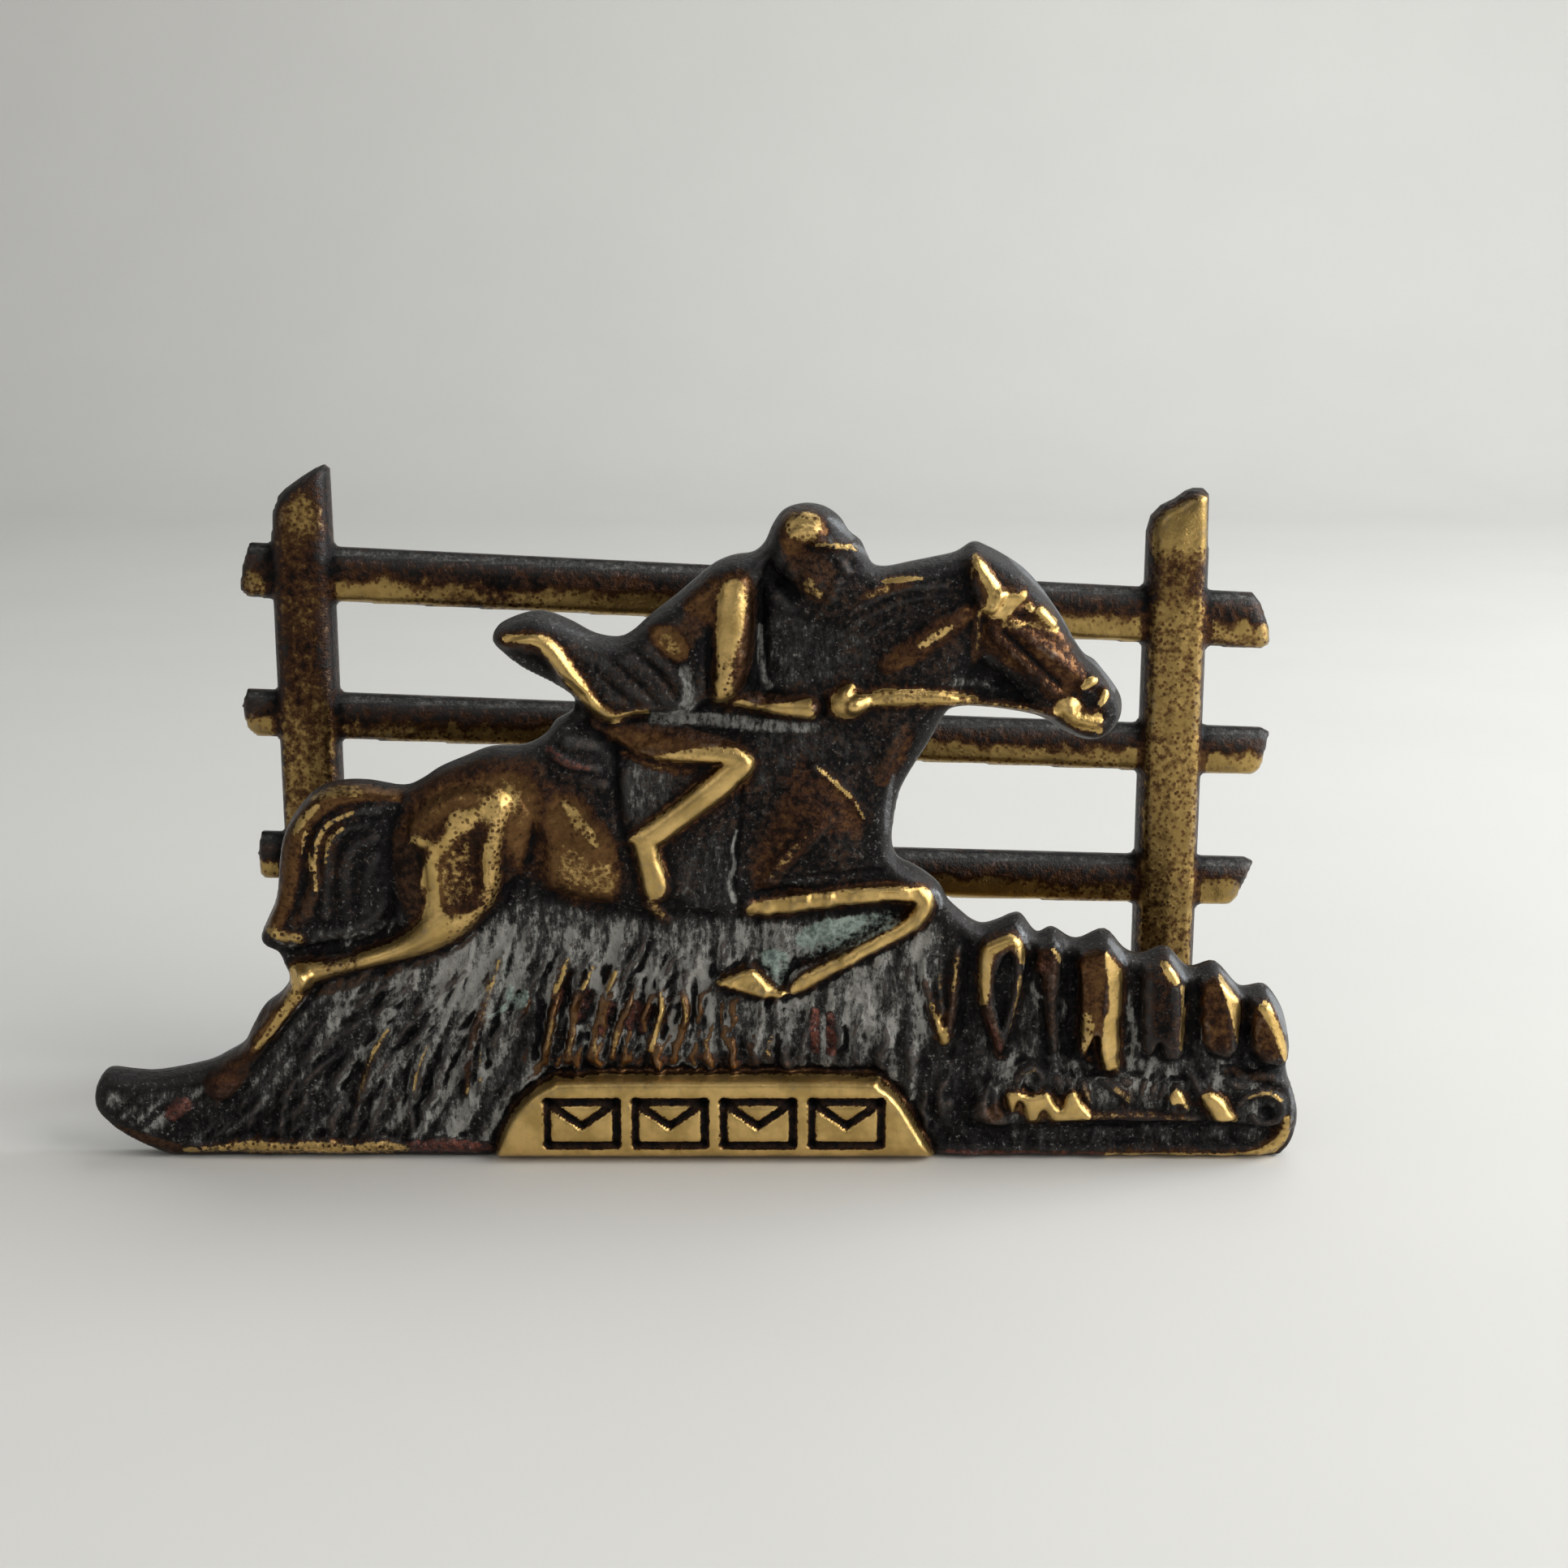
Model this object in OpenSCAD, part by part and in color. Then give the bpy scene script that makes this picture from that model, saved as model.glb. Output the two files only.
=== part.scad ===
// Letter rack of cast brass: a relief panel of a horse and rider clearing a hedge in front,
// a post-and-rail fence behind, both fixed to a flat base plate that carries the letters.

/* [Front panel] */
// Width of the front casting
panel_w = 165.4; // [140:0.1:190]
// Height of the front casting
panel_h = 90; // [76:1:104]
// Thickness of the flat web behind the relief
panel_t = 3; // [2:0.1:5]
// How far the boldest relief stands out from the web
relief_h = 5.5; // [4.2:0.1:7]

/* [Plaque and pickets] */
// Width of the plaque along its foot
plaque_w = 60; // [44:1:70]
// Height of the plaque
plaque_h = 11.2; // [9:0.1:14]
// How far the plaque's shoulders step in on each side
plaque_step = 8.5; // [3:0.5:14]
// Height at which the plaque's sides start to turn in
plaque_shoulder = 8.2; // [5:0.1:8.6]
// How far the plaque's middle lies to the right of the panel's
plaque_shift = 2; // [-6:0.5:6]
// How far the plaque stands out from the web
plaque_t = 3.4; // [2:0.1:4]
// Bevel round the plaque's face
plaque_bevel = 1; // [0.4:0.1:1.6]
// How far the ridges of the hedge pickets stand out from the web
picket_t = 3.6; // [2.6:0.1:4.2]
// How far the edges of the hedge pickets stand out from the web
picket_edge_t = 1.8; // [1:0.1:2.4]

/* [Grass] */
// How far the blades of grass stand out from the web
blade_t = 2.2; // [1.6:0.1:3]
// Width of a blade at its root
blade_w = 3; // [2:0.1:4]
// Length of the longest blades
blade_l = 9; // [6:0.5:11]
// Distance between the blades of a row
blade_pitch = 3.6; // [2.8:0.1:6]

/* [Back fence] */
// Distance between the middles of the two posts
post_spacing = 127; // [112:1:140]
// How far the fence's middle lies to the right of the panel's middle
fence_shift = 5; // [0:0.5:8]
// Width of a post at its back
post_w = 9.4; // [7:0.1:12]
// Thickness of a post from front to back
post_t = 4.5; // [4:0.1:7]
// Height of the left post's tip above the table
left_post_h = 92.2; // [84:0.1:104]
// Height of the right post's tip above the table
right_post_h = 88.4; // [84:0.1:104]
// How far a post's slanted top falls across its width
tip_drop = 5.2; // [2:0.1:7]
// Thickness of a rail from front to back
rail_t = 3.4; // [2:0.1:3.8]
// Heights of the rails' middles above the table, at the fence's middle
rail_z = [72.9, 52.5, 31.7]; // [24:0.1:80]
// Heights of the rails' sections at their backs
rail_h = [8, 6.9, 7.1]; // [4:0.1:9]
// How far each rail falls between the two posts
rail_drop = [6.5, 5.1, 3.6]; // [0:0.1:9]
// How far the rails run past the left post
left_stub = [4.6, 4.9, 3.8]; // [2:0.1:8]
// How far the rails run past the right post
right_stub = [9.4, 10.1, 8.6]; // [4:0.1:14]
// How far each side of a post or rail draws in from back to front
draft = 0.8; // [0:0.1:1.2]
// How far the middle of a post's or rail's front stands out from its edges
crown = 0.5; // [0:0.1:0.8]

/* [Base] */
// Clear depth for letters between the panel and the fence
slot_d = 29; // [20:0.5:45]
// Thickness of the base plate
base_t = 2.5; // [2:0.1:5]
// How far the base plate runs past the posts
base_margin = 2.5; // [0:0.5:6]
// Corner radius of the base plate
base_corner = 2; // [0.5:0.1:4]

/* [Brackets and feet] */
// Distance between the middles of the panel's brackets
bracket_spacing = 96; // [60:1:120]
// Width of a bracket
bracket_w = 12; // [9:0.5:18]
// Height of a bracket's upright leg
bracket_h = 10; // [7:0.5:14]
// Length of a bracket's lying leg
bracket_d = 10; // [8.5:0.5:14]
// Thickness of a bracket's legs
bracket_t = 2.5; // [2:0.1:4]
// Height of the foot that thickens each post for its screw
foot_h = 6; // [5:0.1:10]
// Depth of the foot from the fence's back
foot_d = 9; // [8:0.5:14]

/* [Screws] */
// Thread diameter of the screws
screw_d = 3; // [2.5:0.1:4]
// Diameter of the countersunk head
head_d = 5.6; // [5:0.1:7]
// Length of thread above the base plate in a post's foot
foot_thread = 4; // [2:0.1:4.5]
// Clearance round a screw in the base plate
screw_clearance = 0.4; // [0.2:0.1:0.8]
// Clearance round a screw in its tapped hole
thread_clearance = 0.1; // [0.05:0.05:0.2]
// Width of the driver slot
slot_w = 0.8; // [0.5:0.1:1.2]
// Depth of the driver slot
slot_depth = 0.7; // [0.4:0.1:1]

/* [Hidden] */
$fn = 48;

// Planes from front to back, with the part's middle on the origin
depth = relief_h + panel_t + slot_d + post_t;
web_front = relief_h - depth / 2;
web_back = web_front + panel_t;
fence_front = web_back + slot_d;
fence_back = fence_front + post_t;

post_x = [fence_shift - post_spacing / 2, fence_shift + post_spacing / 2];
bracket_x = [-bracket_spacing / 2, bracket_spacing / 2];
bracket_screw_y = web_back + (bracket_t + bracket_d) / 2;
foot_screw_y = fence_back - foot_d / 2;

// Steps between the outline's points
OUTLINE_STEPS = 2;
// Rows and columns of the relief block, and its reach on the picture's grid, in odd hundredths so that
// no line of the block passes through a point of the outline
COLUMNS = 102;
ROWS = 57;
BLOCK_HALF_W = 86.27;
BLOCK_FOOT = -2.13;
BLOCK_TOP = 92.37;
// How much wider a band is at its foot than over its back
BAND_SPREAD = 1.4;
// How far a raised form is rooted in the web, and a cut's overshoot
ROOT = 1;
OVER = 1;

// Silhouette of the front panel on the picture's grid, clockwise from the left foot
OUTLINE = [
    // Far hoof and hind leg
    [-70, 0], [-75, 1.8], [-79.5, 4.2], [-82.5, 7], [-83.3, 9.2], [-82.6, 11.6], [-81.2, 12.9],
    [-78, 12.6], [-74.5, 12.5], [-68, 13.8], [-65, 15.2], [-62.5, 16.8], [-61, 19.5], [-59.5, 22],
    [-57.2, 23.8], [-55.8, 25.8], [-55.8, 27.6], [-57.2, 30.1],
    // Tail
    [-58.6, 31], [-59.2, 32.3], [-58.2, 34.6], [-56.8, 38], [-56, 44], [-55, 47.3], [-52.8, 50.5],
    [-50.5, 52.4], [-47.5, 53.2], [-44, 53.2], [-39.5, 52.5],
    // Back and saddle
    [-37, 53.4], [-34.5, 55], [-31, 56.5], [-27.5, 57.8], [-23, 58.1], [-20.3, 59.5],
    [-18.8, 61.4], [-16.6, 62.8],
    // Flying coat tail and the rider's back
    [-16.4, 64.8], [-19, 66.6], [-22.5, 68.4], [-25, 70.2], [-26.8, 72.2], [-26.2, 74], [-24, 75.2],
    [-21.5, 75.9], [-19.5, 75.8], [-16.5, 74.6], [-13.5, 73], [-10.5, 72.5], [-8.5, 73.3],
    [-6, 75.5], [-3, 77.8], [0, 80.3], [2.5, 82.3], [5, 83.3], [7.5, 83.7],
    // Cap
    [9, 85], [10, 87.2], [11.3, 89], [13, 89.8], [15, 90], [17, 89.5], [18.8, 88.2], [20, 86.4],
    [21.5, 85.2], [22.3, 83.6], [23.2, 82.1],
    // Mane and ear
    [25, 81.8], [28, 82.4], [31, 83], [34, 83.7], [36.2, 85],
    // Horse's head
    [38, 84.5], [40.5, 83.2], [43, 81.5], [45, 79.4], [46.6, 77.3], [48.2, 75], [49.6, 72.5],
    [51.2, 70.3], [52.6, 69.4], [54, 67.8], [55.4, 66], [56.2, 64.3], [56.2, 62.2], [55.3, 60.4],
    [53.8, 59.2], [52.2, 58.9], [50.4, 59.3], [48.2, 60.4], [45.5, 62], [42, 62.8], [38, 63.3],
    [34, 63.4],
    // Chest and folded knee
    [32.6, 62.2], [31, 59.2], [28, 54.3], [26.8, 51.5], [26, 46.5], [26.2, 44], [27, 42.6],
    [29, 41.6], [31, 40.3], [32.6, 38.8], [33.7, 36.8],
    // Picket tips
    [35.6, 35], [37, 33.9], [38.6, 33.4], [40.7, 34], [42.5, 34.8], [43.8, 34.6], [45.8, 32.2],
    [47.9, 32.9], [50.3, 31.5], [51.9, 31.4], [55.1, 32.6], [57.7, 30], [59.3, 29.2], [60.7, 29.3],
    [63.5, 30.2], [66, 27.7], [67.5, 27.4], [70.3, 28], [73.2, 25], [74.5, 24.5], [77.1, 24.8],
    [78.9, 22.8], [80, 20.2], [80.8, 16],
    // End of the bank
    [80.4, 13.3], [81.5, 10], [82.1, 7.5], [82, 5], [81.3, 2.8], [79.8, 0.9], [77.5, 0]
];

// Scales from the grid that the picture's points are laid out on to the panel
scale_x = panel_w / (max([for (p = OUTLINE) p[0]]) - min([for (p = OUTLINE) p[0]]));
scale_z = panel_h / max([for (p = OUTLINE) p[1]]);

// Domes of the relief on the grid: middle, half length, half width, turn from level, and lift as
// a share of the boldest relief
DOMES = [
    // Horse's body, belly, rump, thigh, shoulder, chest and neck
    [-6, 46, 33, 11.5, 3, 0.5],
    [-15.4, 43.6, 6.4, 8, 0, 0.62],
    [-29.5, 48.6, 10.5, 8.6, 10, 0.84],
    [-32, 39, 6.6, 11, 0, 0.66],
    [15, 48.6, 8.6, 10, 0, 0.72],
    [17, 66, 12, 14, 0, 0.42],
    [27, 71, 15, 9, 42, 0.56],
    // Far hoof and tail
    [-73.5, 7.5, 11, 6, 0, 0.28],
    [-49, 42, 8.5, 12, 15, 0.44],
    // Rider's coat, head and cap
    [-1.5, 71, 14.5, 8.5, 50, 0.68],
    [15.6, 80.6, 5, 4.8, 0, 0.62],
    [14.6, 86.2, 5.2, 3.8, 0, 0.68],
    // Saddle cloth
    [-6.5, 50.4, 4.8, 5.2, 0, 0.56],
    // Grass bank, from left to right
    [-50, 10, 27, 9.5, 14, 0.27],
    [-49, 19.6, 11, 5.4, 38, 0.26],
    [-30, 20, 26, 12, 25, 0.29],
    [-4, 22, 26, 14, 0, 0.32],
    [26, 18, 16, 15, 0, 0.24],
    [16.4, 32.4, 6.6, 2.8, 15, 0.42],
    [57, 20, 24, 11, -12, 0.16],
    // Turf and stones at the right end
    [59, 7.4, 25, 7, 0, 0.4],
    [40, 7.2, 2.6, 3.2, 0, 0.5],
    [47.6, 7.2, 7, 3.2, 0, 0.58],
    [65.8, 8.2, 2.8, 2.2, 0, 0.54],
    [71.4, 7, 3.2, 2.9, 0, 0.58],
    [78, 7.4, 3, 3.4, 0, 0.48]
];

// Raised bands of the relief: stations of [x, z, half width, lift]
BANDS = [
    // Near hind leg from thigh to hock, and from hock to hoof
    [[-26.5, 46, 2, 0.72], [-28, 37.4, 2, 0.7], [-33.4, 33.2, 2.2, 0.68], [-40, 30.2, 1.8, 0.6],
     [-47, 28.2, 1.7, 0.56], [-54.4, 26.6, 1.8, 0.56]],
    [[-54, 26.4, 1.9, 0.56], [-57.6, 20.4, 1.6, 0.5], [-61.6, 15, 1.5, 0.46], [-65, 11.4, 2, 0.46],
     [-68, 8.4, 2.4, 0.4]],
    // Rim of the hollow behind the thigh
    [[-31, 49.5, 1.5, 0.84], [-35.6, 44.5, 1.7, 0.76], [-36.6, 40, 1.6, 0.72],
     [-35.8, 35.6, 1.6, 0.7], [-32.6, 32, 1.8, 0.68]],
    // Edge of the buttock
    [[-39.2, 48, 1.4, 0.32], [-39.8, 36, 1.4, 0.3]],
    // Locks of the tail
    [[-40, 51, 1.2, 0.32], [-46, 52, 1.4, 0.5], [-52.4, 49, 1.5, 0.54], [-55, 43, 1.4, 0.5],
     [-56, 37, 1.3, 0.48], [-58, 32.8, 1.2, 0.4]],
    [[-42.6, 47.6, 1.2, 0.4], [-46.6, 48.6, 1.3, 0.52], [-50.4, 45.6, 1.3, 0.54],
     [-52, 39.4, 1.3, 0.5], [-53.6, 33, 1.2, 0.44]],
    // Folded near foreleg
    [[8, 36.6, 1.8, 0.62], [17, 37.4, 1.7, 0.64], [25, 38.2, 1.5, 0.64], [30.2, 37.8, 1.5, 0.64],
     [29.8, 35, 1.6, 0.64], [24, 31.6, 1.5, 0.64], [17.6, 28, 1.5, 0.64], [13.4, 25.6, 1.6, 0.6]],
    // Near hoof
    [[3, 25.6, 1.2, 0.5], [7, 26.4, 2, 0.58], [12, 24.8, 1.4, 0.56]],
    // Far foreleg
    [[14, 40.8, 1.6, 0.44], [23, 41, 1.5, 0.44], [31, 40, 1.2, 0.4]],
    // Front of the chest, and the nape
    [[30.6, 61.6, 2, 0.42], [26.8, 53, 1.8, 0.4], [24.6, 45, 1.6, 0.34]],
    [[22, 79.6, 2.2, 0.44], [30, 80.6, 1.8, 0.44]],
    // Shoulder blade
    [[12, 57, 1.6, 0.56], [17, 53, 2, 0.68], [21.4, 47.6, 1.6, 0.6]],
    // Horse's head, its jaw, and its ear
    [[37, 77.6, 5, 0.64], [42.5, 73, 4.6, 0.74], [48, 67.2, 3.6, 0.7], [53, 62.8, 2.9, 0.58]],
    [[38.4, 72, 2.2, 0.6], [42, 69, 2.2, 0.62], [46, 65.8, 2, 0.58]],
    [[38.6, 76, 1.4, 0.8], [37.8, 79.6, 1.6, 0.84], [36.6, 83.6, 0.7, 0.66]],
    // Rein
    [[20.6, 64.4, 1.2, 0.72], [26, 65, 1.1, 0.68], [33, 64.8, 0.9, 0.6], [41, 63.6, 0.7, 0.56],
     [47, 62.8, 0.7, 0.6]],
    // Cap peak
    [[15.6, 85, 0.9, 0.74], [19, 85, 0.9, 0.7], [21.6, 84.2, 0.7, 0.6]],
    // Coat tail and its turned hem
    [[-5, 68.6, 3, 0.6], [-12, 68.4, 3, 0.6], [-16, 72, 2.4, 0.56], [-25, 73.4, 1.3, 0.44]],
    [[-23.6, 72.2, 0.9, 0.6], [-19.8, 71.6, 1.2, 0.76], [-16.2, 67, 1.2, 0.74],
     [-12.4, 62.6, 1, 0.62], [-7, 62.6, 0.7, 0.5]],
    // Upper arm, forearm and glove
    [[5.2, 79, 1.8, 0.72], [5, 74, 2.5, 0.84], [4.6, 69, 2.2, 0.84], [4.3, 65.6, 1.8, 0.8]],
    [[4, 65.2, 1.5, 0.8], [9, 64, 1.3, 0.66], [15, 63.6, 1.5, 0.72], [18.6, 64.2, 2, 0.8],
     [20.6, 64.4, 1.8, 0.8]],
    // Thigh, shin and boot
    [[-12.6, 60.2, 1.2, 0.42], [-7, 58.8, 2, 0.6], [-2, 58, 2.1, 0.72], [3.6, 57.2, 1.8, 0.94],
     [5.8, 56.2, 1.8, 1]],
    [[5.8, 56, 1.8, 1], [2, 52.6, 1.9, 0.84], [-3, 48.6, 1.8, 0.8], [-7.6, 45.8, 1.7, 0.8]],
    [[-7.2, 45.4, 1.8, 0.8], [-6.4, 41.4, 1.7, 0.78], [-5.8, 38.8, 1.7, 0.76], [-4.4, 34.6, 0.9, 0.4]],
    // Saddle
    [[-19.4, 59.4, 1.4, 0.42], [-16, 57.2, 1.8, 0.5], [-13, 56, 1.6, 0.5]],
    // Tufts of grass on the bank
    [[-56, 6.4, 1.2, 0.26], [-45, 12.6, 1.2, 0.36], [-41, 19, 0.8, 0.3]],
    [[-32, 9, 1, 0.34], [-30.4, 19, 1.1, 0.42], [-27, 27, 0.8, 0.34]],
    [[-20.6, 15, 1.2, 0.38], [-18.8, 23, 1.2, 0.46], [-15.6, 28, 0.8, 0.36]],
    [[-14, 15, 1, 0.36], [-11.6, 25, 0.9, 0.42]],
    [[-6.6, 16, 0.8, 0.38], [-5, 24.6, 0.8, 0.44]],
    // Stalks beside the hedge
    [[30.6, 29.6, 0.7, 0.3], [31.4, 21.8, 0.8, 0.38], [33.2, 17, 0.8, 0.38]],
    [[34.8, 29.8, 0.7, 0.34], [34.2, 21, 0.8, 0.38], [33.4, 17, 0.8, 0.38]],
    // Leaf at the left end of the hedge
    [[41.2, 15.6, 1, 0.46], [38.8, 21, 0.9, 0.5], [38.4, 27, 0.9, 0.54], [39.4, 30.6, 0.9, 0.54],
     [42, 31.8, 0.9, 0.54], [43.6, 29.6, 0.9, 0.5], [43.4, 24, 0.9, 0.46], [41.2, 15.6, 1, 0.46]],
    // Foot rim
    [[-71, 1.2, 1.1, 0.3], [-50, 1.2, 1.1, 0.34], [-30, 1.2, 1.1, 0.32]],
    [[34, 1.2, 1, 0.3], [55, 1.2, 1, 0.32], [77, 1.2, 1, 0.34]]
];

// Pickets on the grid: left side, right side, foot, tip, and the ridge between its two facets
PICKETS = [
    [45.2, 49.1, 15.3, 32.2, 47.6],
    [51, 57.5, 12.8, 32, 54.7],
    [59.5, 65.9, 14.6, 29.6, 63.6],
    [67.4, 73.6, 15, 27.4, 71],
    [74.5, 80.5, 13.9, 24.2, 77]
];

// Rows of grass blades on the grid: height of the roots, first and last root, and lean there
BLADE_ROWS = [
    [3.4, -62, -34, 66, 82],
    [9, -58, -31, 46, 74],
    [14.6, -54, -28, 40, 64],
    [20.6, -47, -31, 38, 54],
    [12.6, -21, 19, 74, 88],
    [18, -25, 18, 64, 84],
    [23.6, -24, 0, 60, 72],
    [4, 31, 36, 92, 96],
    [13, 22, 30, 90, 94]
];
// How the blades of a row differ: turn from one to the next, from row to row, and its greatest effect
// on the root's place, the length and the lean
BLADE_TURN = 137;
ROW_TURN = 71;
ROOT_SWAY = 1;
LENGTH_SWAY = 0.2;
LEAN_SWAY = 7;
// Where a blade's ridge starts and ends along its length
RIDGE_FROM = 0.25;
RIDGE_TO = 0.6;

// How far a picket's shoulders lie below its tip, and its ridge's ends inside its own
SHOULDER = 4;
RIDGE_INSET = 2;
// Thin cross-section used as a hull's edge
SLICE = 0.1;

// Catmull-Rom curve through the points of an open path
function catmull(a, b, c, d, t) =
    (2 * b + (c - a) * t + (2 * a - 5 * b + 4 * c - d) * t * t + (3 * b - a - 3 * c + d) * t * t * t) / 2;

function open_curve(p, steps) =
    let (last = len(p) - 1)
    [for (i = [0:last - 1], k = [0:steps - 1])
        catmull(p[max(i - 1, 0)], p[i], p[i + 1], p[min(i + 2, last)], k / steps), p[last]];

// From the picture's grid to the panel
function on_panel(p) = [p[0] * scale_x, p[1] * scale_z];

// Lift of a dome, and of one stretch of a band, at a place on the grid
function dome_lift(x, z, d) =
    let (
        across = [x - d[0], z - d[1]],
        u = (across[0] * cos(d[4]) + across[1] * sin(d[4])) / d[2],
        v = (across[1] * cos(d[4]) - across[0] * sin(d[4])) / d[3],
        q = u * u + v * v
    )
    q < 1 ? d[5] * sqrt(1 - q) : 0;

function stretch_lift(x, z, a, b) =
    let (
        run = [b[0] - a[0], b[1] - a[1]],
        t = ((x - a[0]) * run[0] + (z - a[1]) * run[1]) / (run * run),
        s = a + (b - a) * min(max(t, 0), 1),
        q = norm([x - s[0], z - s[1]]) / (s[2] * BAND_SPREAD)
    )
    q < 1 ? s[3] * (1 - q * q) : 0;

// Lifts along one row of the grid, from only the forms that reach it
STRETCHES = [for (b = BANDS, i = [0:len(b) - 2]) [b[i], b[i + 1]]];

function row_lifts(z, xs) =
    let (
        domes = [for (d = DOMES) if (abs(z - d[1]) < max(d[2], d[3])) d],
        stretches = [for (s = STRETCHES)
            let (reach = max(s[0][2], s[1][2]) * BAND_SPREAD)
            if (z > min(s[0][1], s[1][1]) - reach && z < max(s[0][1], s[1][1]) + reach) s]
    )
    [for (x = xs)
        max([0, for (d = domes) dome_lift(x, z, d), for (s = stretches) stretch_lift(x, z, s[0], s[1])])];

// The web and its relief as one block that reaches past the silhouette on every side
module relief_block() {
    xs = [for (i = [0:COLUMNS]) -BLOCK_HALF_W + i * 2 * BLOCK_HALF_W / COLUMNS];
    zs = [for (j = [0:ROWS]) BLOCK_FOOT + j * (BLOCK_TOP - BLOCK_FOOT) / ROWS];
    n = COLUMNS + 1;
    last = n * (ROWS + 1) - 1;
    relief = [for (z = zs)
        let (lifts = row_lifts(z, xs))
        for (i = [0:COLUMNS]) [xs[i] * scale_x, web_front - lifts[i] * relief_h, z * scale_z]];
    corners = [for (z = [BLOCK_FOOT, BLOCK_TOP], x = [-BLOCK_HALF_W, BLOCK_HALF_W])
        [x * scale_x, web_back, z * scale_z]];
    foot_left = len(relief);
    foot_right = foot_left + 1;
    top_left = foot_right + 1;
    top_right = top_left + 1;
    polyhedron(
        concat(relief, corners),
        concat(
            [for (j = [0:ROWS - 1], i = [0:COLUMNS - 1])
                let (a = j * n + i)
                each [[a, a + n, a + 1], [a + 1, a + n, a + n + 1]]],
            [concat([foot_right, foot_left], [for (i = [0:COLUMNS]) i])],
            [concat([top_left, top_right], [for (i = [0:COLUMNS]) last - i])],
            [concat([foot_left, top_left], [for (j = [0:ROWS]) (ROWS - j) * n])],
            [concat([top_right, foot_right], [for (j = [0:ROWS]) j * n + COLUMNS])],
            [[foot_left, foot_right, top_right, top_left]]
        )
    );
}

// A blade of grass: a wedge that rises from its root on the web to a ridge and runs out to its tip
module blade(root, length, lean) {
    run = length * [cos(lean), sin(lean)];
    side = blade_w / 2 * [-sin(lean), cos(lean)];
    foot = [for (p = [root + side, root - side, root + run]) [p[0], web_front + ROOT, p[1]]];
    ridge = [for (p = [root + RIDGE_FROM * run, root + RIDGE_TO * run]) [p[0], web_front - blade_t, p[1]]];
    polyhedron(concat(foot, ridge), [[0, 1, 2], [1, 0, 3], [4, 2, 1], [3, 4, 1], [3, 0, 2], [4, 3, 2]]);
}

module grass() {
    for (r = [0:len(BLADE_ROWS) - 1]) {
        row = BLADE_ROWS[r];
        first = on_panel([row[1], row[0]]);
        row_w = (row[2] - row[1]) * scale_x;
        for (i = [0:floor(row_w / blade_pitch)]) {
            along = i * blade_pitch;
            sway = sin(i * BLADE_TURN + r * ROW_TURN);
            blade(first + [along + sway * ROOT_SWAY, -sway * ROOT_SWAY],
                  blade_l * (1 - LENGTH_SWAY * (1 + sway) / 2),
                  row[3] + (row[4] - row[3]) * along / row_w + sway * LEAN_SWAY);
        }
    }
}

// A prism that stands on the web and reaches a height in front of it
module raised(height) {
    translate([0, web_front + ROOT, 0])
        rotate([90, 0, 0])
            linear_extrude(height + ROOT)
                children();
}

module panel_silhouette() {
    polygon([for (p = open_curve([for (q = OUTLINE) on_panel(q)], OUTLINE_STEPS)) [p[0], max(p[1], 0)]]);
}

module plaque() {
    half = plaque_w / 2;
    right_side = [[half, -OVER], [half - plaque_step / 2, plaque_shoulder], [half - plaque_step, plaque_h]];
    left_side = [for (i = [2:-1:0]) [-right_side[i][0], right_side[i][1]]];
    shape = concat(right_side, left_side);
    translate([plaque_shift, 0, 0])
        hull() {
            raised(plaque_t - plaque_bevel) polygon(shape);
            raised(plaque_t) offset(delta = -plaque_bevel) polygon(shape);
        }
}

module picket(left, right, foot, tip, ridge) {
    shape = [[left, foot], [right, foot], [right, tip - SHOULDER], [ridge, tip], [left, tip - SHOULDER]];
    hull() {
        raised(picket_edge_t) polygon([for (p = shape) on_panel(p)]);
        for (z = [foot + RIDGE_INSET, tip - RIDGE_INSET])
            translate([ridge * scale_x, web_front - picket_t, z * scale_z]) cube([SLICE, SLICE, SLICE]);
    }
}

module front_panel() {
    color("#7a5f33")
        intersection() {
            translate([0, web_back + OVER, 0])
                rotate([90, 0, 0])
                    linear_extrude(panel_t + relief_h + 2 * OVER)
                        panel_silhouette();
            union() {
                relief_block();
                grass();
                plaque();
                for (p = PICKETS) picket(p[0], p[1], p[2], p[3], p[4]);
            }
        }
}

// An angle piece on the panel's flat back, tapped for the screw that comes up through the base
module bracket(x) {
    color("#9c7c3c")
        difference() {
            translate([x - bracket_w / 2, web_back, base_t])
                rotate([90, 0, 90])
                    linear_extrude(bracket_w)
                        polygon([[0, 0], [bracket_d, 0], [bracket_d, bracket_t], [bracket_t, bracket_t],
                                 [bracket_t, bracket_h], [0, bracket_h]]);
            translate([x, bracket_screw_y, base_t - OVER])
                cylinder(d = screw_d + thread_clearance, h = bracket_t + 2 * OVER);
        }
}

module left_bracket() {
    bracket(bracket_x[0]);
}

module right_bracket() {
    bracket(bracket_x[1]);
}

// Screw places: two under the brackets, two under the posts' feet
function bracket_screw_places() = [for (x = bracket_x) [x, bracket_screw_y]];
function foot_screw_places() = [for (x = post_x) [x, foot_screw_y]];

module rounded_plate(size, corner) {
    for (inset = [[corner, 0], [0, corner]])
        translate(inset) square(size - 2 * inset);
    for (x = [corner, size[0] - corner], y = [corner, size[1] - corner])
        translate([x, y]) circle(corner);
}

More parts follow.
